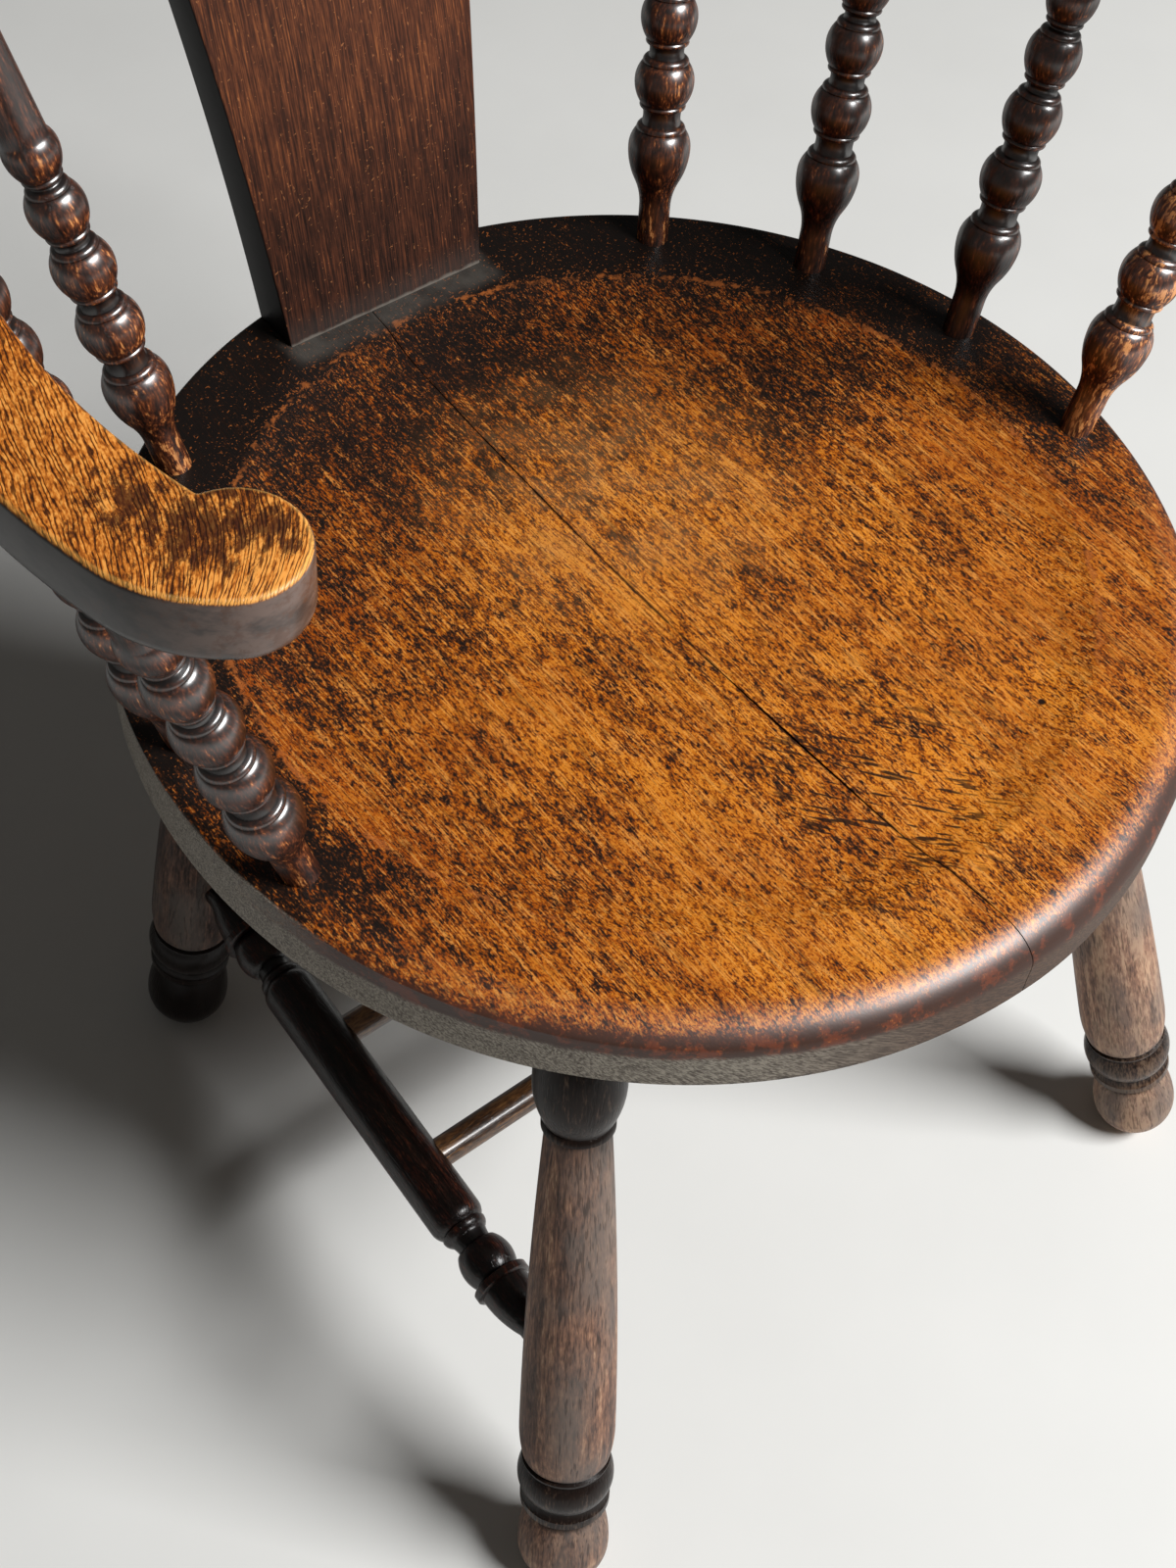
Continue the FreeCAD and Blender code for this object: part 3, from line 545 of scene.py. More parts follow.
def makeSeatWood():
    look = seatFinish
    shade = shadesOf(look)
    material, tree, shader = newMaterial("seatWood", coatRoughness=0.42, specular=0.34, coatBend=2.3)
    place = chairPlace(tree)
    x, y, z = parts(place)
    radius = distanceFrom(place, (0, 0))
    along = join(x, z, y)
    grain = useGroup(grainGroup, along)
    fibre = grain["Fibre"]
    wear, roll, polished = seatWearAndShade(place, x, y, z, radius)
    finish = useGroup(finishGroup, along, Wear=wear, Fineness=1.1, Contrast=1.4)["Finish"]
    thick = finish + (0.5 - fibre) * 0.16 + (0.5 - grain["Streak"]) * 0.06
    # a painted sheen: the polished middle of the dish is lightened towards a pale milky colour that stands
    # in for its reflection
    haze = polished * remap(noise(place, 42.0, 3.0), 0.3, 0.7, 0.06, 0.34)
    bare = remap(thick, 0.62, 0.30)
    redness = grain["Tone"] * 0.30 + remap(y, 0.0, 0.12, 0.0, 0.35) + remap(abs(x), 0.09, 0.19, 0.0, 0.28)
    colour = paint(ramp(thick, look["stops"]), shade, ("haze", haze),
                   ("red", redness * bare * (1.0 - polished)),
                   ("fibreLight", bare * remap(fibre, 0.66, 1.0) * 0.40))

    # pores follow the grain, and lean where it swirls in front of the middle
    swirled = stretch(along, rotation=(0, math.radians(look["flameTurn"]), 0))
    leaning = useGroup(grainGroup, swirled, Fineness=0.62)["Pores"]
    flame = remap(distanceFrom(place, look["flameCentre"], look["flameReach"]), 1.15, 0.35)
    pores = grain["Pores"] * (1.0 - flame) * 0.42 + leaning * flame * 0.95

    # nicks, the rubbed ridge of the dish, the joint and the small knot
    offRidge = abs(radius - look["ridge"])
    ragged = offRidge + (noise(place, 170.0, 4.0, 0.7) - 0.45) * 0.012
    broken = remap(noise(place, 60.0, 3.0, 0.6), 0.42, 0.56)
    ridge = remap(ragged, 0.0022, 0.0006) * remap(y, -0.21, -0.13) * broken * 0.62
    amount = remap(y, -0.14, 0.02) * 0.34 + remap(offRidge, 0.014, 0.0) * 0.25
    nicks = useGroup(nickGroup, along, Amount=amount)["Nicks"]
    rubbed = larger(ridge, nicks * (1.0 - bare) * 0.55)
    middle, end, reach = look["joint"]
    offJoint = abs(x - middle - y * y * ((end - middle) / reach ** 2))
    joint = remap(offJoint, 0.0012, 0.0002) * remap(noise(place, 90.0), 0.35, 0.5)
    knot = remap(distanceFrom(place, look["knot"]), 0.0024, 0.0012)
    colour = paint(colour, shade, ("pore", pores), ("rubbed", rubbed), ("pore", joint * 0.8), ("pore", knot))

    # the worn front edge, specks in the bare wood, and grey dust in front of the splat
    blotch = remap(noise(place, 75.0, 5.0, 0.75), 0.41, 0.51) * roll * 0.88
    specks = remap(noise(place, 1250.0, 1.0), 0.60, 0.68) * bare * 0.7
    nearSplat = remap(abs(x), 0.066, 0.058) * remap(y, 0.2, 0.21)
    dusty = nearSplat * remap(noise(place, 60.0, 4.0), 0.3, 0.7, 0.2, 0.5)
    colour = paint(colour, shade, ("rollRed", roll * 0.6), ("rollDark", blotch), ("pore", specks),
                   ("dust", dusty))
    edge, below = seatEdge(place, x, y, z, radius, shade)
    colour = blend(colour, edge, below)

    crest = remap(radius, 0.234, 0.242) * remap(y, -0.05, -0.15)
    upper = remap(z, seatTop - 0.013, seatTop - 0.005)
    feed(shader.inputs["Coat Weight"], crest * upper * glossLeft(tree, 0.1) * 0.24)
    roughness = remap(thick, 0.3, 0.8, 0.42, 0.36) + below * 0.2 + dusty * 0.2 + roll * 0.14
    relief = finish * 0.7 - pores * 0.8 + fibre * 0.25 + joint * -1.5 + knot * -2.0
    dress(shader, colour, roughness, relief * (1.0 - crest * 0.75))
    return material


# "polished" and "polishedCoat" are for the members that stay dark and glossy.
turnedFinish = {"groove": (6, 4, 4), "polished": (12, 7, 6), "coatRoughness": 0.2, "polishedCoat": 0.5,
                "coatBend": 1.6, "flakes": 0.0, "fineness": 1.2, "contrast": 0.7, "grey": 0.0,
                "greyTint": (106, 98, 92), "sheen": 0.0}

spindleFinish = {
    **turnedFinish,
    "stops": [(0.08, (222, 152, 90)), (0.22, (156, 90, 46)), (0.34, (106, 56, 30)), (0.50, (72, 36, 21)),
              (0.72, (42, 22, 15)), (0.95, (20, 11, 8))],
    "groove": (7, 4, 4), "polished": (18, 10, 8), "roughness": 0.42, "specular": 0.16, "coat": 1.0,
    "polishedCoat": 1.0, "coatRoughness": 0.29, "coatBend": 2.2, "flakes": 0.5, "wear": (0.24, 0.46),
    "fineness": 0.8, "streak": 0.12, "contrast": 1.1,
}

stretcherFinish = {
    **turnedFinish,
    "stops": [(0.15, (120, 66, 36)), (0.40, (70, 32, 20)), (0.60, (32, 15, 11)), (0.90, (10, 6, 6))],
    "roughness": 0.3, "specular": 0.35, "coat": 0.16, "wear": (0.16, 0.34), "streak": 0.22, "contrast": 0.8,
}

rodFinish = {
    **turnedFinish,
    "stops": [(0.15, (150, 108, 64)), (0.40, (112, 74, 42)), (0.62, (66, 42, 26)), (0.90, (28, 18, 13))],
    "roughness": 0.34, "specular": 0.5, "coat": 0.5, "wear": (0.5, 0.6), "streak": 0.3,
}

legFinish = {
    **turnedFinish,
    "stops": [(0.10, (186, 150, 122)), (0.34, (148, 110, 88)), (0.55, (114, 84, 70)), (0.75, (82, 62, 54)),
              (0.95, (52, 41, 37))],
    "groove": (9, 6, 5), "polished": (18, 9, 6), "roughness": 0.5, "specular": 0.1, "coat": 0.0,
    "polishedCoat": 0.1, "coatRoughness": 0.26, "wear": (0.50, 0.72), "fineness": 0.8, "streak": 0.3,
    "grey": 0.72, "sheen": 0.08,
}


def makeTurnedWood(name, look):
    # "rubbed" is how worn the whole piece is, and "proud" picks out the parts that stand out.
    shade = shadesOf(look)
    material, tree, shader = newMaterial(name, look["roughness"], look["coatRoughness"], look["specular"],
                                         look["coatBend"], look["sheen"])
    place = attribute(tree, "turned", "Vector")
    proud, polish, rubbed = (attribute(tree, label) for label in ("proud", "polish", "rubbed"))
    fine = look["fineness"]
    grain = useGroup(grainGroup, place, Fineness=fine)
    flakes = remap(noise(stretch(place, (1, 1, 0.4)), 190.0, 4.0, 0.65), 0.54, 0.60)
    flakes = flakes * remap(rubbed, 0.05, 0.28) * look["flakes"]
    wear = remap(proud, 0.35, 0.9, *look["wear"]) + rubbed + flakes
    finish = useGroup(finishGroup, stretch(place, (1, 1, 0.5)), Wear=wear, Fineness=fine,
                      Contrast=look["contrast"])["Finish"]
    thick = finish + (0.5 - grain["Streak"]) * look["streak"] + (0.5 - grain["Fibre"]) * 0.10
    colour = paint(ramp(thick, look["stops"]), shade,
                   ("greyTint", grain["Tone"] * look["grey"]), ("groove", grain["Pores"] * 0.4),
                   ("polished", polish * remap(finish, 0.10, 0.45, 0.72, 0.97)),
                   ("groove", remap(proud, 0.42, 0.12) * 0.9))
    coat = remap(polish, 0.0, 1.0, look["coat"], look["polishedCoat"], smooth=False)
    feed(shader.inputs["Coat Weight"], glossLeft(tree) * coat)
    roughness = remap(polish, 0.0, 1.0, look["roughness"], 0.28, smooth=False)
    dress(shader, colour, roughness, finish * 0.6 - grain["Pores"] * 0.6, 0.45)
    return material


armFinish = {
    "stops": [(0.06, (240, 162, 76)), (0.22, (206, 122, 44)), (0.36, (162, 88, 28)), (0.54, (100, 51, 20)),
              (0.72, (62, 34, 20)), (0.92, (30, 20, 15))],
    # noseSideSheen is a painted grey sheen on the side of the arm's nose
    "stain": (48, 21, 16), "side": (50, 46, 44), "sideDark": (34, 31, 30), "noseSideSheen": (112, 92, 83),
    "rim": (238, 182, 96), "rust": (84, 54, 38), "pore": (44, 23, 12),
    "grainLean": 0.25, "grainBend": 500.0, "linePitch": 0.0016,
    "stains": [((0.281, -0.087), 0.019), ((0.268, -0.096), 0.013), ((0.293, -0.068), 0.012),
               ((0.262, -0.080), 0.008)],
}

# The crest is held less, so its sides kept the brown of the splat.
crestFinish = {**armFinish, "side": (98, 56, 36), "sideDark": (52, 30, 22), "noseSideSheen": (98, 56, 36)}


def makeArmWood(name, look):
    shade = shadesOf(look)
    material, tree, shader = newMaterial(name, specular=0.4)
    place = chairPlace(tree)
    x, y, z = parts(place)
    # the grain leans outwards to the front, and bends further round the nose of the arm
    outward = abs(x)
    ahead = larger(-0.04 - y, 0.0)
    across = outward + y * look["grainLean"] + maths("POWER", ahead, 4.0) * -look["grainBend"]
    flow = join(across, z, y)
    grain = useGroup(grainGroup, flow)
    folded = join(outward, y, z)
    away = reduce(smaller, [distanceFrom(folded, centre, (reach, reach))
                            for centre, reach in look["stains"]])
    stain = remap(noise(stretch(flow, (1, 1, 0.6)), 210.0, 6.0, 0.8) - away * 0.13, 0.32, 0.46)
    wear = remap(y, -0.04, 0.22, 0.84, 0.42) - stain * 0.10 + remap(y, -0.09, -0.115) * 0.14
    finish = useGroup(finishGroup, flow, Wear=wear, Fineness=0.9, Contrast=0.8)["Finish"]
    # wavy grain lines a line pitch apart, which break off here and there
    waves = noise(stretch(flow, (1, 1, 0.3)), 170.0, 3.0, 0.6)
    phase = across * (math.tau / look["linePitch"]) + waves * 24.0
    breaks = remap(noise(stretch(flow, (1, 1, 0.25)), 420.0, 2.0), 0.32, 0.50)
    strokes = remap(maths("SINE", phase), 0.0, 0.9) * breaks
    upward = facing(tree, 2)
    # the rounded top edge is lighter towards the nose: partly bare worn wood, partly a painted highlight
    rim = remap(upward, 0.995, 0.90) * remap(upward, 0.45, 0.7)
    top = ramp(finish + (0.5 - grain["Fibre"]) * 0.12 + strokes * 0.20, look["stops"])
    top = paint(top, shade, ("stain", stain * 0.85), ("pore", strokes * 0.72),
                ("rim", rim * remap(y, 0.0, -0.08) * 0.35))
    # the nose's side gets patches of painted grey sheen, and rusty scuffs rubbed by the sitter's hand
    side = blend(shade["sideDark"], shade["side"], grain["Streak"])
    patchy = remap(noise(stretch(place, (1, 1, 2)), 55.0, 4.0, 0.65), 0.34, 0.62, 0.15, 0.85)
    rust = remap(noise(place, 110.0, 5.0, 0.7), 0.50, 0.62) * remap(y, -0.06, -0.115)
    side = paint(side, shade, ("noseSideSheen", remap(y, -0.085, -0.12) * patchy), ("rust", rust * 0.6))
    level = remap(upward, 0.35, 0.65)
    relief = (finish * 0.5 - strokes * 0.8) * level
    dress(shader, blend(side, top, level), remap(level, 0.0, 1.0, 0.29, 0.38), relief)
    return material


splatFinish = {
    "stops": [(0.10, (150, 90, 50)), (0.32, (106, 61, 38)), (0.52, (74, 42, 29)), (0.72, (50, 30, 23)),
              (0.92, (28, 18, 15))],
    "side": (14, 12, 12), "nick": (178, 118, 74), "pore": (30, 17, 13), "dust": (122, 116, 108),
    "haze": (62, 56, 53),
}


def makeSplatWood():
    shade = shadesOf(splatFinish)
    material, tree, shader = newMaterial("splatWood", 0.46, 0.25, 0.2)
    place = stretch(objectPlace(tree), (1, 0.04, 1))        # the splat leans, so its depth hardly counts
    z = parts(place)[2]
    grain = useGroup(grainGroup, place)
    wear = remap(remap(z, seatTop, seatTop + 0.17), 0, 1, 0.28, 0.54)
    finish = useGroup(finishGroup, stretch(place, (1, 1, 0.5)), Wear=wear, Fineness=0.9,
                      Contrast=0.3)["Finish"]
    lines = noise(stretch(place, (1, 1, 0.035)), 1250.0, 1.0, 0.5)
    thick = finish + (0.5 - lines) * 1.1 + (0.5 - grain["Streak"]) * 0.05
    foot = remap(z + noise(place, 120.0) * 0.004, seatTop + 0.0042, seatTop + 0.0022)
    # the splat turns greyer towards its foot; this haze colour paints no sheen on the splat
    colour = paint(ramp(thick, splatFinish["stops"]), shade, ("pore", grain["Pores"] * 0.2),
                   ("nick", useGroup(nickGroup, place, Amount=0.22)["Nicks"] * 0.5),
                   ("haze", remap(z, seatTop + 0.019, seatTop + 0.002, 0.0, 0.5)), ("dust", foot * 0.75),
                   ("side", remap(abs(facing(tree, 0)), 0.5, 0.8)))
    dress(shader, colour, None, finish * 0.4 - lines * 0.8, 0.35)
    return material


def makePegWood():
    material, tree, shader = newMaterial("pegWood", 0.6)
    grain = useGroup(grainGroup, objectPlace(tree), Fineness=1.5)
    dress(shader, blend(tint(150, 108, 66), tint(192, 150, 100), grain["Fibre"]))
    return material


def makeScrewSteel():
    material, tree, shader = newMaterial("screwSteel", 0.45)
    shader.inputs["Metallic"].default_value = 1.0
    spots = noise(objectPlace(tree), 600.0, 4.0)
    colour = ramp(spots, [(0.35, (70, 62, 56)), (0.65, (128, 120, 112))])
    dress(shader, colour, remap(spots, 0.3, 0.7, 0.35, 0.6))
    return material


seatWood = makeSeatWood()
spindleWood = makeTurnedWood("spindleWood", spindleFinish)
stretcherWood = makeTurnedWood("stretcherWood", stretcherFinish)
rodWood = makeTurnedWood("rodWood", rodFinish)
legWood = makeTurnedWood("legWood", legFinish)
armWood = makeArmWood("armWood", armFinish)
crestWood = makeArmWood("crestWood", crestFinish)
splatWood = makeSplatWood()
pegWood = makePegWood()
screwSteel = makeScrewSteel()
print("woods mixed")


seatShape = {
    "joint": -0.012,            # glue line between the two boards
    "edgeRound": 0.002,
    "dishRadius": 0.205, "dishDepth": 0.004, "dishSlope": 0.026,
    "rollWidth": 0.0215, "rollDepth": 0.016, "rollFade": 0.012,     # the worn front edge
    "steps": 256, "ringGap": 0.008, "underGap": 0.02, "jointFade": 0.08, "crack": 0.0005,
}


def rollHeight(place):
    # Highest the wood can stand where sitting has rounded the front edge.
    shape = seatShape
    reach = math.hypot(place.x, place.y - middleY - shape["rollFade"])
    flat = seatRadius + shape["rollFade"] - shape["rollWidth"]
    share = clamp((reach - flat) / shape["rollWidth"])
    return seatTop - shape["rollDepth"] * (1 - math.sqrt(1 - share ** 2))


def seatProfile():
    shape = seatShape
    edge = shape["edgeRound"]
    rings = int(seatRadius / shape["underGap"])
    outline = [(seatUnder, ring * shape["underGap"]) for ring in range(rings)]
    outline.append((seatUnder, seatRadius - edge))
    bendTo(outline, seatUnder + edge, seatRadius, steps=3)
    runTo(outline, seatTop - edge, seatRadius, steps=12)
    bendTo(outline, seatTop, seatRadius - edge, steps=3)
    runTo(outline, seatTop, shape["dishRadius"], steps=20)
    for step in range(1, 9):
        share = step / 8
        outline.append((seatTop - shape["dishDepth"] * (1 - (1 - share) ** 1.5),
                        shape["dishRadius"] - shape["dishSlope"] * share))
    inner = shape["dishRadius"] - shape["dishSlope"]
    runTo(outline, seatTop - shape["dishDepth"], 0.0, steps=int(inner / shape["ringGap"]))
    return outline


def makeSeatBoard(name, side):
    shape = seatShape
    bm = bmesh.new()
    spinOutline(bm, seatProfile(), shape["steps"], middleY)
    for vert in bm.verts:
        top = rollHeight(vert.co)
        if math.hypot(vert.co.x, vert.co.y - middleY) > seatRadius - 1e-5:
            share = (vert.co.z - seatUnder) / (seatTop - seatUnder)
            vert.co.z = seatUnder + share * (top - seatUnder)
        else:
            vert.co.z = min(vert.co.z, top)
    cutAway(bm, (shape["joint"], 0, 0), (-side, 0, 0))
    for vert in bm.verts:
        # the glue line wanders a little, and has opened to a fine crack
        y = vert.co.y - middleY
        near = clamp(1 - abs(vert.co.x - shape["joint"]) / shape["jointFade"])
        opened = shape["crack"] * (0.45 + 0.55 * ease(0.02, 0.09, abs(y + 0.035)))
        vert.co.x += (jointAt(y) - shape["joint"] + side * opened / 2) * near ** 2
    finishMesh(bm, "seat_board_" + name, seatWood)


for sideName, sideSign in sides.items():
    makeSeatBoard(sideName, sideSign)
print("seat boards made")


def addNeck(outline, middle, radius, following, nextRadius):
    # From the middle of one bobbin to the middle of the next: groove, bead, hollow neck and collar.
    shape = spindleShape
    width = shape["grooveWidth"]
    depth = shape["grooveDepth"]
    groove = middle + shape["upperReach"]
    grooveRadius = radius - shape["shoulderLoss"]
    beadFoot = groove + 2 * width
    beadRadius = radius - shape["beadLoss"]
    neckRadius = radius - shape["neckLoss"]
    collarHeight = shape["collarHeight"]
    collarTop = following - shape["lowerReach"]
    collarRadius = nextRadius - shape["collarLoss"]
    bendTo(outline, groove, grooveRadius, steps=7)
    outline += [(groove + width, grooveRadius - depth), (beadFoot, beadRadius)]
    bendTo(outline, beadFoot + collarHeight, beadRadius - collarHeight / 2, steps=4)
    outline.append((beadFoot + collarHeight + width, neckRadius))
    runTo(outline, collarTop - collarHeight - width, neckRadius, -shape["neckHollow"], steps=5)
    outline.append((collarTop - collarHeight, collarRadius - depth))
    runTo(outline, collarTop, collarRadius - depth, depth, steps=4)
    outline.append((collarTop + width, collarRadius))
    bendTo(outline, following, nextRadius, steps=8)


def spindleOutline():
    shape = spindleShape
    outline = [(-shape["socket"], shape["footRadius"]), (shape["footStraight"], shape["footRadius"])]
    bendTo(outline, shape["footStraight"] + shape["waistRise"], shape["waistRadius"], hollow=True, steps=8)
    middle = shape["bulbHeight"]
    radius = shape["bulbRadius"]
    step = shape["firstStep"]
    bendTo(outline, middle, radius, steps=10)
    for bobbin in range(shape["bobbins"]):
        addNeck(outline, middle, radius, middle + step, radius - shape["radiusLoss"])
        middle += step
        radius -= shape["radiusLoss"]
        step -= shape["stepLoss"]
    bendTo(outline, middle + shape["shaftReach"], shape["shaftRoot"], steps=6)
    runTo(outline, shape["drawnLength"], shape["shaftHead"], steps=8)
    outline.append((shape["drawnLength"] + shape["socket"], shape["shaftHead"]))
    return outline


def makeSpindle(name, number):
    shape = spindleShape
    side = sides[name]
    seatAngle, bowAngle, bowInset, rubbed = (
        shape[key][name][number] for key in ("seatAngles", "bowAngles", "bowInsets", "rubbed"))
    foot = around(seatRadius - shape["seatInset"], seatAngle, side, seatTop)
    head = around(bowInner + bowInset, bowAngle, side, armUnder)
    share = (head - foot).length / shape["drawnLength"]
    outline = [(height * share, radius) for height, radius in spindleOutline()]
    turnPiece("spindle_" + name + "_" + str(number + 1), outline, foot, head, spindleWood,
              steps=56, grainStart=0.31 * (number + 1) * (1.7 if side > 0 else 1),
              rub=(0.007, 0.0022), rubbed=rubbed, footWear=0.035)


for sideName in sides:
    for spindleNumber in range(4):
        makeSpindle(sideName, spindleNumber)
print("spindles turned")


# Heights are along the leg, from the middle of its ball foot, or down from its shoulder for the cup.
legShape = {
    "footRadius": 0.0235, "footCentre": 0.022,
    "topInsets": {"front": 0.0533, "back": 0.0473}, "topAngles": {"front": 132.05, "back": 48.73},
    "footOutsets": {"front": 0.0694, "back": -0.006}, "footAngles": {"front": 137.85, "back": 51.5},
    "ankle": (0.028, 0.018), "ankleFlare": 0.001, "lowRing": (0.0325, 0.0055, 0.0228),
    "torus": (0.052, 0.0095, 0.0244), "torusLoss": 0.0026, "bead": (0.065, 0.0224), "groove": 0.0208,
    "shaftFoot": (0.0685, 0.0222), "shaft": (0.086, 0.0239), "shaftTop": 0.0152, "swell": 0.0015,
    "cupFoot": (0.084, 0.016), "cup": (0.062, 0.0213), "ring": (0.017, 0.0035, 0.0015),
    "shoulder": (0.03, 0.0165), "neck": 0.0145, "edge": 0.001,
    "polishFoot": {"front": 0.031, "back": -0.03}, "polishTop": 0.067, "polishCup": (0.088, 0.02),
    "rubbed": {"frontleft": 0.22, "frontright": -0.03, "backleft": -0.3, "backright": -0.34},
    "grainStart": {"frontleft": 0.7, "frontright": 1.3, "backleft": 2.1, "backright": 2.9},
}


def legAxis(end, side):
    shape = legShape
    footRadius = seatRadius + shape["footOutsets"][end]
    topRadius = seatRadius - shape["topInsets"][end]
    return (around(footRadius, shape["footAngles"][end], side, shape["footCentre"]),
            around(topRadius, shape["topAngles"][end], side, seatUnder))


def onLeg(end, side, height):
    foot, top = legAxis(end, side)
    return foot.lerp(top, (height - foot.z) / (top.z - foot.z))


def legOutline(length):
    shape = legShape
    edge = shape["edge"]
    ringHeight, ringWidth, ringRadius = shape["lowRing"]
    ringTop = ringHeight + ringWidth
    torusHeight, torusReach, torusRadius = shape["torus"]
    torusTop = torusHeight + torusReach
    torusEnd = torusRadius - shape["torusLoss"]
    beadHeight, beadRadius = shape["bead"]
    cupRing, cupRingWidth, cupRingGap = shape["ring"]
    cupFoot, cupFootRadius = shape["cupFoot"]
    shaftTop = length - cupFoot - cupRingWidth - cupRingGap
    outline = [(-shape["footRadius"], 0.0)]
    bendTo(outline, 0.0, shape["footRadius"], steps=14)
    bendTo(outline, *shape["ankle"], steps=10)
    bendTo(outline, ringHeight, shape["ankle"][1] + shape["ankleFlare"], hollow=True, steps=4)
    outline += [(ringHeight + edge / 2, ringRadius - edge / 2), (ringHeight + edge, ringRadius),
                (ringTop - edge / 2, ringRadius), (ringTop, ringRadius - edge / 2),
                (torusHeight - torusReach, torusEnd - edge / 2)]
    bendTo(outline, torusHeight, torusRadius, steps=8)
    bendTo(outline, torusTop, torusEnd, steps=8)
    outline.append((torusTop + edge, beadRadius - edge))
    bendTo(outline, beadHeight, beadRadius, steps=4)
    outline += [(beadHeight + edge, shape["groove"]), shape["shaftFoot"]]
    bendTo(outline, *shape["shaft"], steps=6)
    runTo(outline, shaftTop, shape["shaftTop"], shape["swell"], steps=16)
    outline += [(shaftTop + edge / 2, cupRing - edge / 2), (shaftTop + edge, cupRing),
                (shaftTop + cupRingWidth, cupRing), (length - cupFoot, cupFootRadius)]
    bendTo(outline, length - shape["cup"][0], shape["cup"][1], steps=12)
    bendTo(outline, length - shape["shoulder"][0], shape["shoulder"][1], steps=10)
    bendTo(outline, length + shape["neck"], shape["neck"], hollow=True, steps=8)
    return outline


def makeLeg(end, name):
    shape = legShape
    foot, top = legAxis(end, sides[name])
    length = (top - foot).length
    below, above = shape["polishCup"]
    turnPiece("leg_" + end + "_" + name, legOutline(length), foot, top, legWood, steps=80,
              grainStart=shape["grainStart"][end + name], rubbed=shape["rubbed"][end + name], floor=0.0,
              polish=[(shape["polishFoot"][end], shape["polishTop"]), (length - below, length + above)])


for sideName in sides:
    makeLeg("front", sideName)
    makeLeg("back", sideName)
print("legs turned")


stretcherShape = {
    "frontHeight": 0.136, "backHeight": 0.144, "radius": 0.0145, "endReach": 0.006, "endRadius": 0.008,
    "taperStart": 0.03, "taper": (0.0545, 0.0131), "disc": (0.0045, 0.0152), "edge": 0.001,
    "ballEnd": 0.0795, "ballNeck": 0.0113, "ball": 0.0142, "cove": (0.0865, 0.009),
    "bead": (0.091, 0.0124), "shoulder": 0.099,
    "crossRadius": 0.0081, "crossReach": 0.004, "crossShares": {"front": 0.3725, "back": 0.618},
    "grainStart": {"left": 4.1, "right": 4.7, "front": 5.3, "back": 5.9},
}


def sideStretcherAxis(side):
    return [onLeg(end, side, stretcherShape[end + "Height"]) for end in ("front", "back")]


def stretcherEnd():
    shape = stretcherShape
    edge = shape["edge"]
    taperEnd = shape["taper"][0]
    discWidth, discRadius = shape["disc"]
    discEnd = taperEnd + edge + discWidth
    outline = [(shape["endReach"], shape["endRadius"]), (shape["taperStart"], shape["endRadius"])]
    bendTo(outline, *shape["taper"], steps=6)
    outline += [(taperEnd + edge / 2, discRadius - edge / 2), (taperEnd + edge, discRadius),
                (discEnd - edge, discRadius), (discEnd - edge / 2, discRadius - edge / 2),
                (discEnd, shape["ballNeck"])]
    bendTo(outline, (discEnd + shape["ballEnd"]) / 2, shape["ball"], steps=8)
    bendTo(outline, shape["ballEnd"], shape["ballNeck"], steps=8)
    outline.append((shape["ballEnd"] + edge, shape["cove"][1]))
    bendTo(outline, shape["cove"][0], shape["cove"][1] + edge, hollow=True, steps=4)
    bendTo(outline, *shape["bead"], steps=5)
    outline.append((shape["bead"][0] + edge, shape["bead"][1] - edge))
    bendTo(outline, shape["shoulder"], shape["radius"], steps=5)
    return outline


def makeSideStretcher(name):
    front, back = sideStretcherAxis(sides[name])
    length = (back - front).length
    half = stretcherEnd()
    outline = half + [(length - height, radius) for height, radius in reversed(half)]
    turnPiece("side_stretcher_" + name, outline, front, back, stretcherWood, steps=56,
              grainStart=stretcherShape["grainStart"][name])


def makeCrossStretcher(end):
    # A plain rod from one side stretcher to the other, which starts a little inside them.
    shape = stretcherShape
    right, left = (Vector.lerp(*sideStretcherAxis(side), shape["crossShares"][end]) for side in (-1, 1))
    outline = [(0.0, shape["crossRadius"])]
    runTo(outline, (left - right).length - 2 * shape["crossReach"], shape["crossRadius"], steps=12)
    start = right + (left - right).normalized() * shape["crossReach"]
    turnPiece("cross_stretcher_" + end, outline, start, left, rodWood, steps=40,
              grainStart=shape["grainStart"][end])


for sideName in sides:
    makeSideStretcher(sideName)
for crossEnd in ("front", "back"):
    makeCrossStretcher(crossEnd)
print("stretchers turned")


splatShape = {
    "seatInset": 0.036, "bowProud": 0.0025, "hollow": 0.0048, "thickness": (0.028, 0.025),
    "widths": (0.117, 0.138, 0.165), "edgeRound": 0.0012, "cutsUp": 24, "endGap": 0.002,
}


def arcThrough(low, middle, high, share):
    # A curve through three evenly spaced values.
    rest = 1 - share
    return low * rest * (1 - 2 * share) + 4 * middle * share * rest + high * share * (2 * share - 1)


def uprightEdges(bm):
    return [edge for edge in bm.edges if abs(edge.verts[0].co.z - edge.verts[1].co.z) > 0.5]


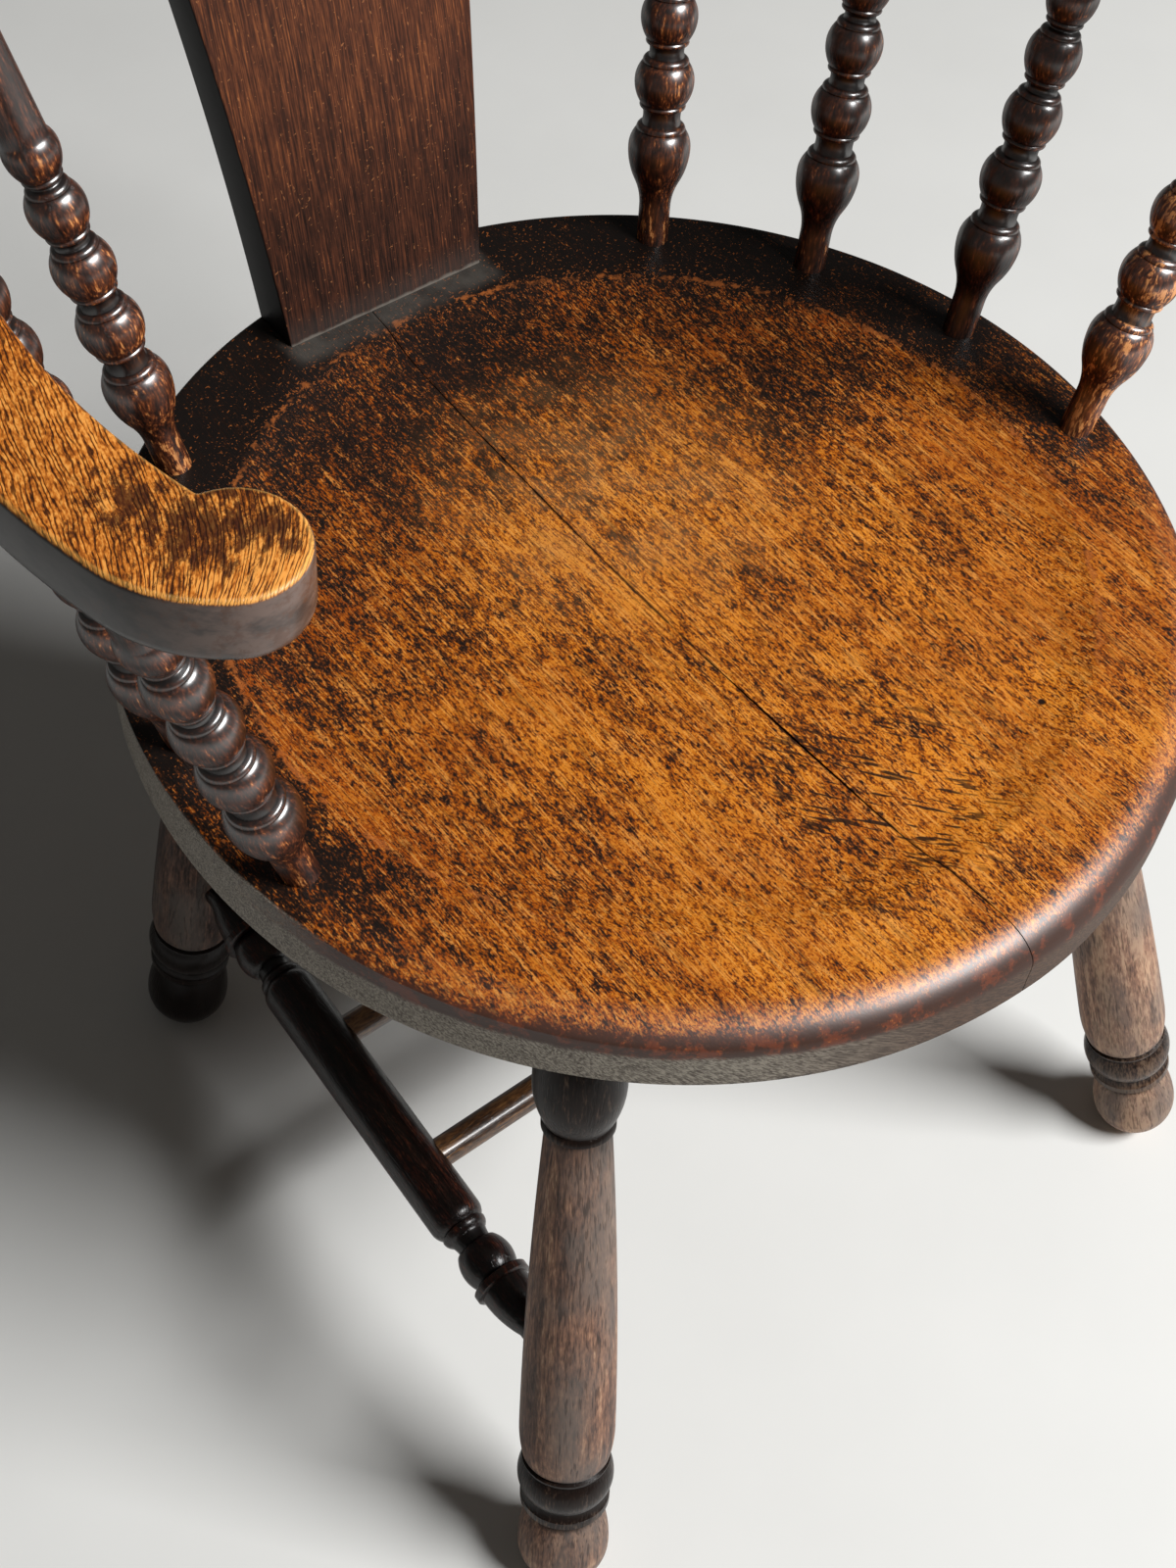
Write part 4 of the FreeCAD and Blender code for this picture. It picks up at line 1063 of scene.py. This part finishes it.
def makeSplat():
    # A block of size 1 gets its bevels and cuts, and is then drawn out to the curved board.
    shape = splatShape
    bevel = 0.04        # on the block, and the round corners are set to their real size below
    bm = bmesh.new()
    bmesh.ops.create_cube(bm, size=1.0)
    roundEdges(bm, uprightEdges(bm), bevel, 3)
    bmesh.ops.subdivide_edges(bm, edges=uprightEdges(bm), cuts=shape["cutsUp"], use_grid_fill=True)
    footY = middleY + seatRadius - shape["seatInset"]
    headY = middleY + bowInner - shape["bowProud"]
    for vert in bm.verts:
        share = vert.co.z + 0.5
        width = arcThrough(*shape["widths"], share)
        front = arcThrough(footY, (footY + headY) / 2 - shape["hollow"], headY, share)
        thickness = between(*shape["thickness"], share)
        sideways = vert.co.x * 2
        inset = (1 - abs(sideways)) * 0.5 / bevel
        if inset < 1.0001:
            x = math.copysign(width / 2 - inset * shape["edgeRound"], sideways)
        else:
            x = sideways * width / 2
        deep = vert.co.y + 0.5
        edgeShare = min(deep, 1 - deep) / bevel
        if edgeShare < 1.0001:
            depth = edgeShare * shape["edgeRound"]
            depth = depth if deep < 0.5 else thickness - depth
        else:
            depth = deep * thickness
        height = between(seatTop - shape["endGap"], armUnder + shape["endGap"], share)
        vert.co = Vector((x, front + depth, height))
    finishMesh(bm, "back_splat", splatWood, sharpAngle=60)


makeSplat()
print("splat made")


armShape = {
    "topRound": 0.0026, "underRound": 0.008, "noseAngle": 109.3, "noseRadius": 0.024, "noseInset": 0.012,
    "shoulderRadius": 0.06, "notchRound": 0.0012,
}


def triangleAngle(near, far, facingSide):
    return math.degrees(math.acos((near ** 2 + far ** 2 - facingSide ** 2) / (2 * near * far)))


def arcPoints(centre, start, end, steps, inward=False):
    # Points on a level circle about centre, from start to end, the short way round unless inward.
    first = math.atan2(start.y - centre.y, start.x - centre.x)
    last = math.atan2(end.y - centre.y, end.x - centre.x)
    sweep = (last - first + math.pi) % (2 * math.pi) - math.pi
    if inward:
        sweep -= math.copysign(2 * math.pi, sweep)
    radius = (start - centre).length
    turns = [first + sweep * step / steps for step in range(steps + 1)]
    return [centre + Vector((math.cos(turn), math.sin(turn), 0)) * radius for turn in turns]


def armPlan(side):
    # The same arcs as the solid: the bow's outer face, a shoulder, the nose, a notch and the inner face.
    noseAngle, noseRadius, noseInset, shoulderRadius, notchRound = (
        armShape[key] for key in ("noseAngle", "noseRadius", "noseInset", "shoulderRadius", "notchRound"))
    noseDistance = bowMiddle - noseInset
    nose = around(noseDistance, noseAngle, side)
    notchDistance = bowInner - notchRound
    notchAngle = noseAngle - triangleAngle(notchDistance, noseDistance, noseRadius + notchRound)
    notch = around(notchDistance, notchAngle, side)
    innerEnd = around(bowInner, notchAngle, side)
    noseEnd = nose + (notch - nose).normalized() * noseRadius
    shoulderDistance = bowOuter - shoulderRadius
    shoulderAngle = noseAngle - triangleAngle(shoulderDistance, noseDistance, shoulderRadius - noseRadius)
    shoulder = around(shoulderDistance, shoulderAngle, side)
    outerEnd = around(bowOuter, shoulderAngle, side)
    noseStart = nose + (nose - shoulder).normalized() * noseRadius
    middle = Vector((0, middleY, 0))
    noseTurn = arcPoints(nose, noseStart, noseEnd, 20)
    farther = nose - ((noseEnd + noseStart) / 2 - nose).normalized() * noseRadius
    if min((point - farther).length for point in noseTurn) > noseRadius:
        noseTurn = arcPoints(nose, noseStart, noseEnd, 20, inward=True)
    return (arcPoints(middle, around(bowOuter, 0, side), outerEnd, 60)
            + arcPoints(shoulder, outerEnd, noseStart, 12)[1:] + noseTurn[1:]
            + arcPoints(notch, noseEnd, innerEnd, 4)[1:]
            + arcPoints(middle, innerEnd, around(bowInner, 0, side), 56)[1:])


def makeArm(name):
    bm = bmesh.new()
    bm.faces.new([bm.verts.new((point.x, point.y, armUnder)) for point in armPlan(sides[name])])
    bm.normal_update()
    raised = bmesh.ops.extrude_face_region(bm, geom=bm.faces[:])
    top = [item for item in raised["geom"] if isinstance(item, bmesh.types.BMVert)]
    bmesh.ops.translate(bm, verts=top, vec=(0, 0, armTop - armUnder))
    for height, key, segments in ((armTop, "topRound", 4), (armUnder, "underRound", 6)):
        rim = [edge for edge in bm.edges if all(abs(vert.co.z - height) < 1e-6 for vert in edge.verts)
               and not all(abs(vert.co.x) < 1e-6 for vert in edge.verts)]
        roundEdges(bm, rim, armShape[key], segments)
    finishMesh(bm, "arm_" + name, armWood)


for sideName in sides:
    makeArm(sideName)
print("arms made")


crestShape = {
    "height": 0.062, "halfAngle": 48.0, "footInset": 0.004, "lean": 0.012, "topWidth": 0.022,
    "topRound": 0.009, "endLip": 0.009, "scoopRadius": 0.062, "steps": 96,
}


def makeCrest():
    # A section of radii and heights swept round the bow, then scooped down to a thin lip at each end.
    shape = crestShape
    height, halfAngle, scoop = shape["height"], shape["halfAngle"], shape["scoopRadius"]
    inner = bowInner + shape["footInset"]
    outer = bowOuter - shape["footInset"]
    topInner = inner + shape["lean"]
    topOuter = topInner + shape["topWidth"]
    corner = shape["topRound"]
    cornerZ = armTop + height - corner
    section = [(inner, armTop)]
    runTo(section, topInner, cornerZ, steps=8)
    for centre, start in ((topInner + corner, math.pi), (topOuter - corner, math.pi / 2)):
        for step in range(1, 7):
            turn = start - math.pi / 2 * step / 6
            section.append((centre + corner * math.cos(turn), cornerZ + corner * math.sin(turn)))
    runTo(section, outer, armTop, steps=8)
    bm = bmesh.new()
    bm.faces.new([bm.verts.new((0, middleY + radius, z)) for radius, z in section])
    bmesh.ops.rotate(bm, verts=bm.verts[:], cent=(0, middleY, 0),
                     matrix=Matrix.Rotation(math.radians(-halfAngle), 3, "Z"))
    bmesh.ops.spin(bm, geom=bm.faces[:], cent=(0, middleY, 0), axis=(0, 0, 1), dvec=(0, 0, 0),
                   angle=math.radians(2 * halfAngle), steps=shape["steps"])
    bmesh.ops.remove_doubles(bm, verts=bm.verts[:], dist=1e-6)
    for vert in bm.verts:
        radius = math.hypot(vert.co.x, vert.co.y - middleY)
        angle = abs(math.degrees(math.atan2(vert.co.x, vert.co.y - middleY)))
        reach = radius * math.sin(math.radians(max(0.0, halfAngle - angle)))
        if reach < scoop:
            limit = min(shape["endLip"] + scoop - math.sqrt(scoop ** 2 - reach ** 2), height)
            vert.co.z = armTop + (vert.co.z - armTop) * limit / height
    finishMesh(bm, "crest_rail", crestWood, sharpAngle=50)


makeCrest()
print("crest made")


# The hidden pegs and screws keep their own shape.
for nodeName, material in (("seat_dowels", pegWood), ("bow_dowels", pegWood), ("crest_screws", screwSteel)):
    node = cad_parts[nodeName]
    node.data.materials.clear()
    node.data.materials.append(material)


# Turn is measured from straight in front of the chair, and height from level, both in degrees.
studio = {
    "floorSize": 12.0, "floorColour": (224, 224, 221), "floorMottle": 4,
    "keyTurn": 33.85, "keyHeight": 47.3, "keyRoll": 173.5, "keyDistance": 4.0, "keyAim": 0.3,
    "keySize": (2.1, 0.82), "keyPower": 230.0, "worldColour": (255, 250, 244), "worldStrength": 0.055,
    "cameraTurn": -43.553, "cameraHeight": 52.747, "cameraRoll": 6.419,
    "cameraPlace": (-0.49317, -0.51743, 1.14424), "cameraLens": 49.63,
}


def lookBack(name, data, place=None):
    # Sets up a lamp or camera that looks back along its turn and height, from a place or a distance.
    turn, height, roll = (math.radians(studio[name + key]) for key in ("Turn", "Height", "Roll"))
    away = Vector((math.sin(turn) * math.cos(height), -math.cos(turn) * math.cos(height), math.sin(height)))
    level = up.cross(away).normalized()
    right = math.cos(roll) * level + math.sin(roll) * away.cross(level)
    if place is None:
        place = Vector((0, middleY, studio[name + "Aim"])) + away * studio[name + "Distance"]
    made = bpy.data.objects.new(data.name, data)
    made.matrix_world = (Matrix.Translation(place)
                         @ Matrix((right, away.cross(right), away)).transposed().to_4x4())
    bpy.context.scene.collection.objects.link(made)
    return made


def makeFloor():
    bm = bmesh.new()
    bmesh.ops.create_grid(bm, x_segments=4, y_segments=4, size=studio["floorSize"] / 2)
    material, tree, shader = newMaterial("floorPaint", 0.7)
    plain = studio["floorColour"]
    paler = tuple(part + studio["floorMottle"] for part in plain)
    dress(shader, ramp(noise(objectPlace(tree), 6.0, 5.0), [(0.3, plain), (0.7, paler)]))
    addObject(bm, "floor", material)


def makeKeyLight():
    # A wide soft light in front of the chair, on the sitter's left.
    data = bpy.data.lights.new("keyLight", "AREA")
    data.shape = "RECTANGLE"
    data.size, data.size_y = studio["keySize"]
    data.energy = studio["keyPower"]
    lookBack("key", data)


def makeCamera():
    data = bpy.data.cameras.new("camera")
    data.sensor_fit = "VERTICAL"
    data.sensor_height = 36.0
    data.lens = studio["cameraLens"]
    data.clip_start = 0.01
    bpy.context.scene.camera = lookBack("camera", data, studio["cameraPlace"])


def makeWorld():
    world = bpy.data.worlds.new("studioWorld")
    world.use_nodes = True
    background = world.node_tree.nodes["Background"]
    background.inputs["Color"].default_value = tint(*studio["worldColour"])
    background.inputs["Strength"].default_value = studio["worldStrength"]
    bpy.context.scene.world = world
    bpy.context.scene.view_settings.view_transform = "Standard"


makeFloor()
makeKeyLight()
makeWorld()
makeCamera()
print("studio set")
